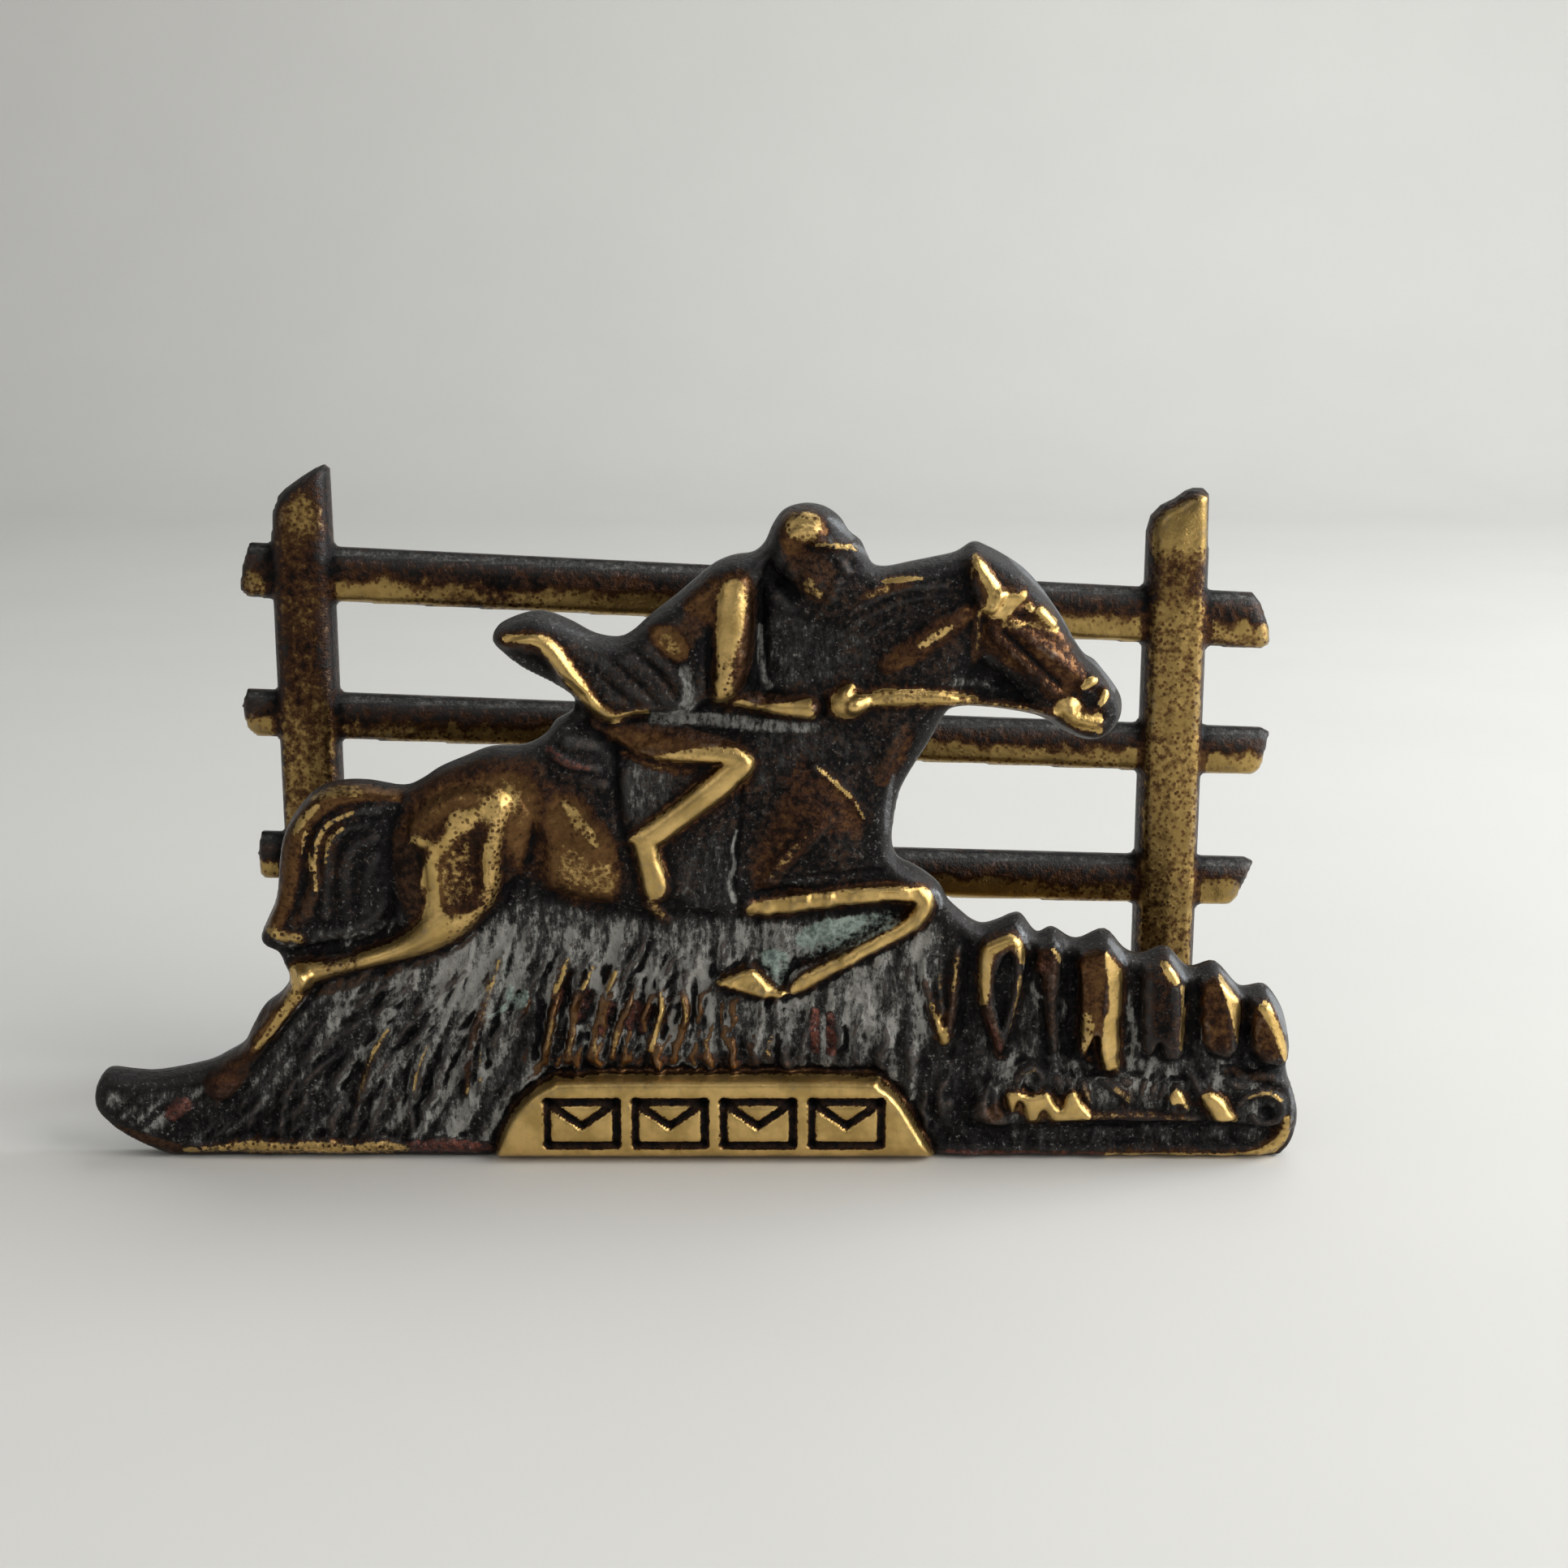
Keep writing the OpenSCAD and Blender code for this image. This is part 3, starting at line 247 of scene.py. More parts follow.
# Raised bands in groups that run into one another: stations of (x, z, half width, lift)
BANDS = [
    [[(-54.2, 25.6, 2.1, 2.2), (-56.2, 22.2, 1.7, 2.2), (-58.6, 18.6, 1.5, 2.0), (-61, 15.6, 1.5, 1.8),
      (-63.6, 12.6, 1.6, 1.6), (-66, 10, 2.1, 1.4)]],
    [[(-29.6, 49.6, 1.2, 0.2), (-33, 46.6, 1.4, 0.4), (-35.6, 43.4, 1.3, 0.5), (-36.2, 39, 1.2, 0.4)],
     [(-26.4, 49, 1.4, 0.2), (-27.4, 44, 1.1, 0.4), (-27.6, 39, 1.1, 0.4), (-29, 35.4, 1.1, 0.3)],
     [(-34, 33.6, 1.6, 0.3), (-39, 31, 1.3, 0.4), (-45, 28.8, 0.9, 0.3)]],
    [[(-40, 51.2, 1.0, 0.3), (-45, 51.6, 1.3, 0.6), (-49.4, 50.2, 1.4, 0.7), (-52.8, 46.8, 1.2, 0.7),
      (-54.3, 42.5, 1.1, 0.6), (-55.2, 38, 1.1, 0.6), (-57.2, 33.4, 1.1, 0.5)],
     [(-43, 49, 0.8, 0.4), (-46.6, 48.4, 0.8, 0.6), (-50, 46.6, 0.8, 0.7), (-51.4, 43, 0.8, 0.7),
      (-51.6, 38.6, 0.8, 0.6), (-53.4, 34, 0.9, 0.5)],
     [(-44.4, 47, 0.7, 0.4), (-47.6, 46.2, 0.8, 0.6), (-49.6, 43.4, 0.8, 0.7), (-49.9, 39, 0.8, 0.6),
      (-50.4, 34.4, 0.9, 0.4)],
     [(-43.4, 45.2, 0.9, 0.3), (-46.4, 43.6, 1.0, 0.5), (-47.6, 39.4, 1.0, 0.5), (-47.6, 34.4, 1.1, 0.3)],
     [(-43, 42.6, 0.8, 0.2), (-44.6, 40, 0.9, 0.3), (-45, 35.4, 1.0, 0.3)],
     [(-57.2, 32, 1.1, 0.6), (-54.2, 31.2, 0.9, 0.6)]],
    [[(-19.8, 57.6, 0.9, 0.5), (-18.2, 56.1, 0.9, 0.8), (-16, 55.1, 0.8, 0.8), (-13.4, 54.7, 0.7, 0.5)],
     [(-19, 54.4, 0.8, 0.3), (-16.4, 53.4, 0.9, 0.4), (-12.6, 52.6, 0.8, 0.4)],
     [(-19.4, 61, 0.9, 0.3), (-17.4, 58.6, 1.0, 0.5), (-13, 57.6, 0.9, 0.4)]],
    [[(-26, 72.4, 0.8, 0.4), (-22.5, 72.3, 0.9, 0.7), (-20.2, 71.8, 1.1, 1.0), (-18.3, 69.7, 1.2, 1.1),
      (-16.3, 66.8, 1.1, 1.1), (-14.2, 63.9, 1.0, 1.0), (-12.5, 62.1, 0.9, 0.9), (-10.5, 61.6, 0.8, 0.8),
      (-8.4, 62.3, 0.7, 0.7), (-6.2, 62.7, 0.6, 0.4)]],
    [[(5.2, 79, 1.7, 0.6), (5.2, 77.4, 2.2, 1.0), (5.1, 75, 2.5, 1.2), (4.9, 72, 2.4, 1.3),
      (4.6, 68.4, 2.1, 1.3), (4.3, 65.6, 2.1, 1.3), (4.3, 64.6, 1.7, 1.2)],
     [(3.8, 64.5, 1.6, 1.3), (7, 63.6, 1.3, 1.6), (11, 63.1, 1.4, 1.8), (14.8, 62.8, 1.6, 1.9)]],
    [[(19.5, 65, 0.8, 0.9), (20.4, 65.7, 0.5, 0.8)],
     [(21, 63.5, 1.3, 1.3), (23.5, 64.1, 1.1, 1.1), (25.5, 64.4, 1.25, 1.1), (29, 64.4, 1.1, 1.0),
      (32, 64.2, 1.0, 1.0), (35, 63.8, 0.85, 1.1), (39, 63.3, 0.75, 1.3), (43, 62.8, 0.7, 1.3),
      (47, 62.2, 0.7, 1.1)]],
    [[(-6.7, 36.4, 0.9, 1.0), (-5.4, 35, 0.9, 1.0), (-4.3, 33.7, 0.8, 0.9)]],
    [[(25.2, 68.8, 1.4, 0.4), (28.5, 70.8, 1.7, 0.8), (31.5, 72.8, 1.7, 0.9), (34.5, 74.9, 1.4, 0.8),
      (36.3, 75.9, 0.9, 0.4)]],
    [[(22, 77.8, 0.5, 0.3), (25, 79.2, 0.5, 0.5), (28, 80, 0.5, 0.5), (31.5, 80.5, 0.4, 0.3)],
     [(20.6, 75.8, 0.6, 0.3), (24, 77.7, 0.6, 0.5), (28, 78.9, 0.6, 0.5), (32.6, 79.2, 0.5, 0.3)],
     [(20, 73.4, 0.6, 0.2), (23.4, 75.6, 0.6, 0.4), (27.4, 77.2, 0.6, 0.4), (32, 77.8, 0.5, 0.3)],
     [(21, 71.6, 0.6, 0.2), (24.6, 74, 0.6, 0.3), (28.6, 75.8, 0.6, 0.3), (32.4, 76.6, 0.5, 0.2)]],
    [[(36.9, 77, 0.6, 0.6), (36.6, 73, 0.6, 0.6), (36.8, 69, 0.6, 0.5)]],
    [[(41, 74.3, 1.1, 0.6), (44.5, 71.8, 1.0, 0.6), (48.3, 68.8, 0.9, 0.5), (50.6, 67, 0.7, 0.4)],
     [(38.6, 73.6, 1.0, 0.5), (41.5, 70.6, 0.9, 0.6), (44.6, 67.5, 0.8, 0.6), (47.2, 65, 0.8, 0.6)]],
    [[(40, 77.6, 1.2, 1.0), (42.8, 77.8, 0.9, 0.8)], [(39.4, 76, 1.3, 0.9), (42, 76.3, 0.9, 0.5)]],
    [[(45, 75.8, 0.8, 0.8), (46.9, 74.3, 0.7, 0.6)]],
    [[(50.9, 65.7, 0.7, 0.8), (52.3, 66.6, 0.8, 0.9)], [(53.4, 63.6, 0.7, 0.7), (54, 65.2, 0.6, 0.7)],
     [(49.4, 61.7, 0.9, 0.7), (51.2, 61.4, 1.0, 0.7), (53.2, 60.9, 0.8, 0.6)]],
    [[(15.4, 55, 0.5, 0.3), (18, 53.2, 0.55, 0.45), (20.4, 51, 0.55, 0.45), (22.2, 48, 0.5, 0.3)],
     [(17.4, 48, 1.0, 0.4), (14.5, 45, 1.3, 0.7), (11.5, 42, 1.3, 0.7), (9.4, 38.8, 1.2, 0.5)]],
    [[(15.8, 84.9, 0.8, 1.2), (18.5, 84.7, 0.8, 1.2), (21.3, 84.1, 0.7, 0.9)]],
    [[(-71, 1.0, 0.7, 0.6), (-66, 1.2, 0.7, 0.8), (-62, 1.6, 1.1, 1.1), (-57, 1.3, 0.9, 1.0),
      (-52, 1.4, 1.2, 1.2), (-48, 1.1, 0.8, 1.0), (-44, 1.6, 1.2, 1.2), (-40, 1.3, 0.9, 0.9),
      (-36, 1.8, 1.3, 1.1), (-32, 1.3, 1.0, 0.8), (-29, 1.3, 0.9, 0.7)],
     [(33, 0.7, 0.8, 0.7), (50, 0.6, 0.8, 0.9), (70, 0.5, 0.9, 1.0), (77, 0.8, 1.0, 1.1),
      (79.8, 2.2, 1.0, 1.1), (80.8, 5, 0.8, 0.9)]],
    [[(-46.8, 8, 0.5, 0.5), (-45.6, 12, 0.6, 0.9), (-44, 15.6, 0.6, 0.9), (-42.3, 18.6, 0.4, 0.5)],
     [(-39.4, 8, 0.8, 0.5), (-38.7, 13, 1.0, 0.9), (-37, 16.2, 0.9, 0.8), (-35.4, 18.6, 0.5, 0.4)],
     [(-32.4, 8, 0.5, 0.5), (-31.4, 15, 0.6, 0.9), (-30.2, 20, 0.6, 0.9), (-28, 25, 0.5, 0.6)],
     [(-30.2, 10, 0.6, 0.5), (-29.8, 15, 0.7, 0.8), (-28.4, 21, 0.6, 0.7), (-26.6, 28, 0.4, 0.4)],
     [(-21, 13.6, 0.7, 0.6), (-20.4, 19, 0.9, 1.0), (-19.4, 23.6, 0.7, 0.9), (-17.4, 28.6, 0.4, 0.5)],
     [(-18.2, 13.8, 0.6, 0.6), (-17.4, 19, 0.8, 1.0), (-16, 23.6, 0.6, 0.9), (-14.4, 27.4, 0.35, 0.5)],
     [(-15, 14, 0.6, 0.6), (-14, 19, 0.7, 0.9), (-12.8, 23.4, 0.6, 0.9), (-11.2, 26.8, 0.35, 0.5)],
     [(-12, 14, 0.6, 0.5), (-11.2, 18, 0.7, 0.8), (-9.8, 22, 0.5, 0.6)],
     [(-7.1, 15, 0.4, 0.8), (-5.8, 18.4, 0.5, 1.2), (-5.1, 21.6, 0.5, 1.2), (-5.6, 25.4, 0.3, 0.7)],
     [(-2.6, 23.4, 0.3, 0.6), (-1.9, 21, 0.4, 1.1), (-2.2, 18.8, 0.35, 0.9)]],
    [[(43.6, 9.4, 0.5, 0.6), (43.6, 11, 0.5, 0.9), (44.6, 12.5, 0.55, 1.0), (46, 12.4, 0.5, 1.0),
      (46.9, 11, 0.5, 0.8), (46, 9.6, 0.4, 0.6), (45.2, 10.4, 0.35, 0.5)],
     [(48.6, 12.6, 0.4, 0.4), (49.2, 10.8, 0.6, 0.8), (49.6, 9, 0.4, 0.6)],
     [(50.2, 12, 0.3, 0.4), (50.7, 10.4, 0.45, 0.8), (51.1, 8.9, 0.3, 0.5)],
     [(51.2, 13, 0.4, 0.5), (52.4, 10.5, 0.7, 1.0), (53.4, 8, 0.6, 0.9), (53.9, 6.6, 0.3, 0.5)],
     [(38.8, 9.5, 0.8, 0.5), (38.6, 7, 0.9, 0.9), (40, 5.2, 0.9, 1.0), (41.8, 4.8, 0.7, 0.8)],
     [(40.6, 8.6, 0.5, 0.5), (40.6, 6.6, 0.6, 0.8), (41.6, 5.6, 0.5, 0.7)],
     [(53.4, 5.5, 0.6, 0.6), (57, 6, 0.8, 0.9), (60, 5.7, 0.8, 0.9), (64, 5.5, 0.6, 0.7),
      (68, 5.3, 0.6, 0.7)],
     [(55, 10.8, 0.5, 0.3), (57, 9.6, 0.9, 0.9), (59, 8, 0.7, 0.6)],
     [(56.6, 12.2, 0.6, 0.4), (58.6, 10.6, 0.8, 0.7)],
     [(60.2, 7.6, 0.3, 0.4), (60.8, 10, 0.4, 0.8), (61.8, 12, 0.3, 0.4)],
     [(61.7, 7.4, 0.3, 0.4), (62.3, 9.8, 0.4, 0.8), (63.2, 11.6, 0.3, 0.4)],
     [(63.1, 7.2, 0.3, 0.4), (63.5, 9.4, 0.4, 0.8), (64.4, 11.4, 0.3, 0.4)],
     [(66.6, 11.8, 0.5, 0.4), (68, 10.6, 0.6, 0.8), (68.4, 8.6, 0.5, 0.6)],
     [(74, 6.6, 0.5, 0.5), (75.4, 8.4, 0.6, 0.9), (77.6, 9, 0.7, 1.2), (79.6, 8, 0.7, 1.1),
      (80.2, 6, 0.7, 1.0), (79, 4.5, 0.6, 1.0), (77, 4.3, 0.6, 0.9), (76, 5.4, 0.5, 0.7)],
     [(76, 11.8, 0.5, 0.4), (78, 11.4, 0.6, 0.8), (80, 10.2, 0.6, 0.8)],
     [(69.6, 12, 0.5, 0.4), (72, 12.6, 0.6, 0.7), (74.4, 12, 0.6, 0.5)],
     [(72.2, 10.8, 0.5, 0.4), (74, 9.9, 0.6, 0.7), (75.6, 10.4, 0.5, 0.4)]],
    [[(30.6, 29.4, 0.4, 0.4), (30.5, 25, 0.5, 0.8), (31.6, 21.4, 0.55, 1.0), (32.7, 18.4, 0.6, 1.2),
      (33.4, 16.4, 0.6, 1.0)],
     [(35, 29.6, 0.45, 0.8), (34.6, 25, 0.5, 0.9), (34.2, 20, 0.55, 1.1), (33.5, 16.6, 0.6, 1.0)],
     [(32.8, 29, 0.4, 0.4), (32.6, 25, 0.45, 0.6), (33, 20.6, 0.5, 0.8)]],
]

# Limbs with flatter faces: the rider's leg and boot, and the folded foreleg
LIMBS = [
    [[(-14.6, 62, 0.9, 0.5), (-12.8, 60.2, 1.1, 0.7), (-10.5, 59.4, 1.7, 1.0), (-7, 58.6, 2.4, 1.3),
      (-3, 58, 2.5, 1.6), (0.5, 57.5, 2.2, 1.8), (3.8, 56.9, 1.8, 1.9), (5.8, 55.8, 1.6, 1.9)],
     [(5.9, 55.2, 1.8, 1.9), (3, 52.5, 1.9, 1.9), (0, 50.1, 1.8, 1.9), (-3.5, 47.4, 1.75, 1.9),
      (-6.4, 45.3, 1.7, 1.9), (-8.7, 45.1, 0.9, 1.6)],
     [(-7.2, 44.6, 1.7, 1.9), (-6.7, 42, 1.6, 1.9), (-6.1, 39.8, 1.75, 1.9), (-5.7, 38, 1.9, 1.8),
      (-5.6, 37.2, 1.5, 1.6)]],
    [[(7.5, 35.3, 1.5, 1.2), (11, 35.8, 1.6, 1.8), (16, 36.4, 1.5, 2.2), (21, 37, 1.4, 2.4),
      (26, 37.4, 1.3, 2.4), (30, 37.1, 1.35, 2.4)],
     [(30.5, 36.6, 1.35, 2.4), (30.2, 34.8, 1.45, 2.5), (28.3, 32.7, 1.4, 2.6), (24.5, 30.5, 1.35, 2.6),
      (20, 28.1, 1.3, 2.6), (16.5, 26.1, 1.4, 2.6), (14.2, 24.9, 1.6, 2.5), (12.8, 23.6, 1.0, 2.1)]],
]

# Grooves: stations of (x, z, half width, depth)
GROOVES = [
    [(-41.4, 37, 0.6, 0.3), (-42, 34.4, 0.7, 0.5), (-45.6, 31.6, 0.6, 0.6), (-53, 29.6, 0.6, 0.5)],
    [(-11, 59, 0.5, 0.4), (-10.9, 53, 0.5, 0.6), (-10.3, 46, 0.5, 0.5)],
    [(8.4, 79.4, 0.6, 0.5), (8.6, 75.6, 0.6, 0.8), (8.2, 71.6, 0.6, 0.7), (7.8, 67.6, 0.6, 0.5)],
    [(1.6, 74, 0.5, 0.4), (1.7, 69, 0.6, 0.7), (1.7, 65, 0.6, 0.7)],
    [(-9.4, 71.6, 0.5, 0.3), (-5, 68, 0.55, 0.6), (-2.6, 64.6, 0.5, 0.4)],
    [(-11.4, 69.8, 0.5, 0.3), (-7.6, 66.4, 0.55, 0.6), (-5, 63.6, 0.5, 0.4)],
    [(-13.2, 68.2, 0.5, 0.3), (-10.4, 65.4, 0.55, 0.6), (-8, 63.6, 0.5, 0.4)],
    [(-7.2, 73, 0.5, 0.2), (-3.4, 69.6, 0.55, 0.6), (-0.4, 66.4, 0.5, 0.4)],
    [(16.6, 62.4, 0.7, 0.7), (16.6, 64.4, 0.6, 0.6)],
    [(40.2, 73.2, 0.45, 0.5), (43, 70.6, 0.5, 0.6), (46, 67.8, 0.45, 0.6), (48, 66, 0.4, 0.4)],
    [(42.6, 75.2, 0.4, 0.4), (44.6, 75, 0.4, 0.5)],
    [(50.2, 62.4, 0.35, 0.4), (52, 61.9, 0.35, 0.5), (53.6, 61.8, 0.3, 0.4)],
    [(5.6, 53, 0.5, 0.4), (5.4, 46, 0.6, 0.5), (4.6, 40, 0.6, 0.5), (5.6, 35, 0.5, 0.4)],
    [(11, 39.6, 0.4, 0.4), (18, 40.4, 0.4, 0.5), (26, 40.8, 0.4, 0.4)],
    [(34.4, 13.6, 0.5, 0.4), (35.8, 20, 0.6, 0.6), (36.4, 30, 0.6, 0.6)],
    [(37.2, 4.2, 0.5, 0.5), (50, 4.3, 0.6, 0.7), (62, 4.5, 0.6, 0.7), (73, 4.6, 0.5, 0.5)],
    [(44.9, 31, 0.5, 0.2), (45, 24, 0.5, 0.3), (45.6, 15, 0.5, 0.2)],
    [(50.4, 30, 0.5, 0.3), (50.4, 22, 0.5, 0.4), (50.6, 14, 0.5, 0.3)],
    [(58.8, 28, 0.4, 0.2), (58.9, 20, 0.4, 0.3), (58.9, 14, 0.4, 0.2)],
    [(66.9, 26, 0.4, 0.3), (67.1, 20, 0.4, 0.4), (67.3, 14, 0.4, 0.3)],
    [(74.4, 23, 0.3, 0.3), (74.4, 18, 0.35, 0.4), (74.5, 14, 0.35, 0.3)],
    [(67.6, 9.4, 0.5, 0.5), (68.8, 6.4, 0.5, 0.6), (69.6, 5, 0.4, 0.5)],
    [(-24.4, 53.4, 0.5, 0.2), (-22, 48, 0.7, 0.4), (-23, 42, 0.8, 0.5), (-25, 38.4, 0.6, 0.4)],
]

# Main blades of grass: height of the roots, first and last root, and lean there
BLADE_ROWS = [
    (3.4, -62, -34, 66, 82), (9, -58, -31, 46, 74), (14.6, -54, -28, 40, 64), (20.6, -47, -31, 38, 54),
    (12.6, -21, 19, 74, 88), (18, -25, 18, 64, 84), (23.6, -24, 0, 60, 72), (4, 31, 36, 92, 96),
    (13, 22, 30, 90, 94),
]
BLADE_PITCH, BLADE_LENGTH, BLADE_HALF, BLADE_LIFT = 3.6, 9.0, 0.95, 1.5

# Finer grass between them: x and z limits of the roots, number of blades, lean, its spread, greatest length,
# half width and lift
GRASS = [
    (-62, -36, 14, 25, 44, 40, 7, 8.0, 0.7, 0.8), (-64, -28, 2.5, 9, 60, 80, 9, 7.0, 0.7, 0.8),
    (-46, -24, 8, 21, 36, 68, 7, 9.0, 0.8, 1.0), (-24, -4, 11, 27, 60, 70, 6, 7.0, 0.8, 1.1),
    (-4, 20, 12, 20, 60, 84, 6, 5.5, 0.7, 1.0), (0, 20, 19, 25, 40, 80, 9, 3.5, 0.6, 0.9),
    (19, 37, 4, 26, 100, 92, 9, 5.0, 0.6, 0.8), (-30, 8, 27, 33, 50, 62, 16, 4.0, 0.8, 0.7),
]

# Flat raised plates: outline, lift above what lies under them, width of the rounding
PLATES = [
    ([(-9.8, 54.8), (-3, 54.4), (-0.6, 53.2), (-4, 49.4), (-8.2, 46.2), (-9.8, 48)], 0.5, 0.7),
    ([(1.8, 24.8), (4.6, 26.3), (7, 27.1), (8.4, 26.3), (10.4, 24.3), (11.8, 23.8), (12.2, 23.2),
        (9.5, 22.4), (6, 23.1)], 2.3, 1.0),
    ([(36.1, 84), (37.6, 82.4), (39.6, 79.7), (40.3, 78.4), (39.5, 76.4), (38, 75.4), (36.8, 76.5),
        (35.7, 79.3), (35.8, 82)], 1.3, 1.5),
    ([(41.9, 9), (43, 9.6), (45.2, 8.9), (47.7, 9.4), (48.7, 7.8), (49.6, 7), (50.2, 8.9), (51.5, 9.5),
        (52.6, 7.6), (53.9, 6.1), (53.6, 5.2), (50.5, 4.8), (48.4, 4.9), (47.2, 6.5), (46.4, 4.9), (45, 5),
        (44.5, 6.8), (43.8, 7.8), (43.1, 6), (42.3, 7)], 1.4, 0.7),
    ([(64.3, 8.6), (65.3, 10.2), (66.6, 8.7), (67.4, 6.2), (66, 5.8), (64.5, 6.2)], 1.3, 0.9),
    ([(68.7, 9.2), (70.3, 9.5), (72.2, 8.1), (73.1, 6.5), (74, 5.3), (73, 4.7), (71, 4.7), (69.9, 6.3),
        (69, 7.6)], 1.6, 1.1),
]

# Pickets: outline of the front face, ridge from tip to foot, lift of the ridge, left side and right side
PICKETS = [
    ([(45.4, 32), (47.8, 34), (49.4, 32), (49.2, 27), (48.9, 22), (49.3, 15), (47.7, 14.6), (46.9, 20),
        (46.4, 25.5), (45.4, 26.5)], [(47.9, 34), (47.9, 30), (48.1, 26), (47.9, 20), (48.3, 15)],
        2.8, 1.6, 1.3),
    ([(51.3, 31), (54.7, 35), (57.8, 31), (57.7, 25), (57.6, 20), (57.7, 12.4), (55, 12.1), (54.6, 14.2),
        (54, 17.6), (53.3, 15.4), (52.4, 13.6), (51.4, 15), (51.6, 20), (51.2, 27)],
        [(54.7, 35), (54.8, 29.6), (55.4, 25), (55.1, 21), (54.9, 17), (54.9, 12.2)], 4.0, 2.8, 2.0),
    ([(59.8, 30), (63, 32), (66.3, 29), (66.3, 24), (66.2, 14.4), (63.6, 13.8), (62.7, 16.4), (61.7, 14.2),
        (60.2, 15), (60, 22)], [(63, 32), (63.1, 27.6), (64.9, 24.8), (65.4, 20), (65.4, 14)],
        3.4, 2.2, 1.6),
    ([(67.8, 28), (70.1, 30), (74, 27), (74, 21), (73.8, 15.6), (72, 14.2), (69.6, 14.8), (68.3, 16),
        (67.9, 22)], [(70.1, 30), (70.3, 26), (71.7, 22.2), (72.5, 19.4), (73, 14.5)], 3.6, 2.3, 1.7),
    ([(74.9, 26), (76.8, 28), (80.9, 22), (81, 14), (79.6, 13.2), (76.8, 13.2), (75.1, 15.4), (74.9, 20)],
        [(76.1, 28), (76.4, 22), (78.1, 18.2), (79.6, 14.6), (79.6, 13.4)], 3.5, 2.3, 1.6),
]

# Leaf at the hedge's end: outline, outline of its sunk middle, lift, depth of the middle
LEAF = ([(38, 29.7), (40, 31.1), (42.5, 31.9), (43.8, 30.8), (44.3, 28.6), (43.9, 24), (43, 20), (42, 16),
    (41, 14.2), (39.7, 16.8), (38.3, 21), (37.8, 25)], [(39.8, 27), (41, 29.4), (42.3, 29.9), (42.9, 27.6),
    (42.6, 23.5), (41.9, 20), (40.9, 18.2), (39.8, 21.4), (39.5, 25)], 2.9, 1.5)

# Plaque: outline, lift of its face and of its edge
PLAQUE = [(-28.6, -3), (-28.3, 0.4), (-27.4, 3.2), (-25.8, 6.2), (-23.4, 8.8), (-20.6, 10.5), (-18, 11.1),
    (2, 11.2), (22.6, 11.1), (25, 10.1), (27.4, 8), (29.3, 5), (31, 2), (32.2, -0.6), (32.8, -3)]
PLAQUE_LIFT, PLAQUE_EDGE = 3.4, 0.8

# Engraved envelopes: width, height, spacing and number, middle of the row, half width and depth of a line
ENVELOPE_W, ENVELOPE_H, ENVELOPE_PITCH, ENVELOPE_COUNT = 9.4, 6.2, 12.0, 4
ENVELOPE_MIDDLE = (2.0, 6.0)
ENVELOPE_LINE, ENVELOPE_DEPTH = 0.6, 0.6

# The rider's face, a plain calm one: swellings, then bands, then grooves
FACE_SWELLINGS = [
    (16, 80.6, 4.2, 4.2, -20, 0.5), (15.4, 79.4, 1.9, 1.5, 0, 0.35), (17.9, 77.4, 1.1, 0.9, 0, 0.5),
    (17.7, 82.2, 0.75, 0.5, -10, 0.3), (12.6, 80.9, 0.9, 1.3, 10, 0.5),
]
FACE_BANDS = [[[(18.7, 83, 0.6, 0.3), (19.4, 81.8, 0.6, 0.6), (20, 80.9, 0.65, 0.8)],
    [(18.4, 79.5, 0.5, 0.35), (19.3, 79.5, 0.45, 0.35)], [(18.2, 78.7, 0.5, 0.35), (19, 78.6, 0.45, 0.35)],
    [(16.6, 83.1, 0.4, 0.35), (18.2, 83.2, 0.4, 0.35)]]]
FACE_GROOVES = [[(17.9, 79.1, 0.25, 0.3), (19.2, 79.05, 0.25, 0.3)], [(16.8, 82.1, 0.2, 0.2),
    (18.3, 82.1, 0.2, 0.2)]]

# Lift at which forms are drawn: outer edge, low forms, grooves, plates, the rider's face and the hollow
# under the coat
EDGE_LIFT, FORM_LIFT, GROOVE_LIFT, PLATE_LIFT, FACE_LIFT, HOLLOW_LIFT = -2.2, 2.8, 2.4, 3.2, 3.2, 2.0
# Height of a field where its form is absent
ABSENT = -3.0
# Height of the panel's rim, width and rise of the rounding along it, and slope of the roofs over the pickets
RIM, RIM_WIDTH, RIM_RISE, ROOF_SLOPE = -1.8, 2.3, 5.0, 4.2
# Reach of the panel's grid: left, right, bottom, top
PANEL_REACH = (-84.6, 84.6, -0.6, 92.4)

panel = Grid(*PANEL_REACH, PANEL_STEP)
panel_loop = curve(OUTLINE, 4)
panel_loop[:, 1] = np.maximum(place(panel_loop, EDGE_LIFT)[:, 1], 0.0)
edge = depth_inside(panel.x, panel.z, panel_loop)

# Streaks that lean as the blades of grass do
streaks = panel.x - panel.z / np.tan(np.radians(42 + 46 * smooth(-66, 12, panel.x)))


def drawn_loop(points, lift):
    """Smooth closed outline, moved from the drawing to its true place."""
    return place(curve(points, 3, True), lift)


def mass_field(points, lift, rounding):
    """Heights of one rounded mass."""
    outline = drawn_loop(points, lift)
    win = panel.window(outline, 1)
    d = np.minimum(depth_inside(panel.x[win], panel.z[win], outline), edge[win] + 0.3)
    field = np.full(panel.x.shape, ABSENT)
    field[win] = np.where(d > 0, lift * dome(d, rounding), np.maximum(ABSENT, 4 * d))
    return field


def add_swellings(height, rows):
    for x, z, a, b, turn, lift in rows:
        (x, z), = place([(x, z)], FORM_LIFT)
        win = panel.window(np.array([[x - a - b, z - a - b], [x + a + b, z + a + b]]), 0)
        dx, dz = panel.x[win] - x, panel.z[win] - z
        c, s = math.cos(math.radians(turn)), math.sin(math.radians(turn))
        q = ((dx * c + dz * s) / a) ** 2 + ((dz * c - dx * s) / b) ** 2
        height[win] += lift * np.clip(1 - q, 0, 1) ** 1.3


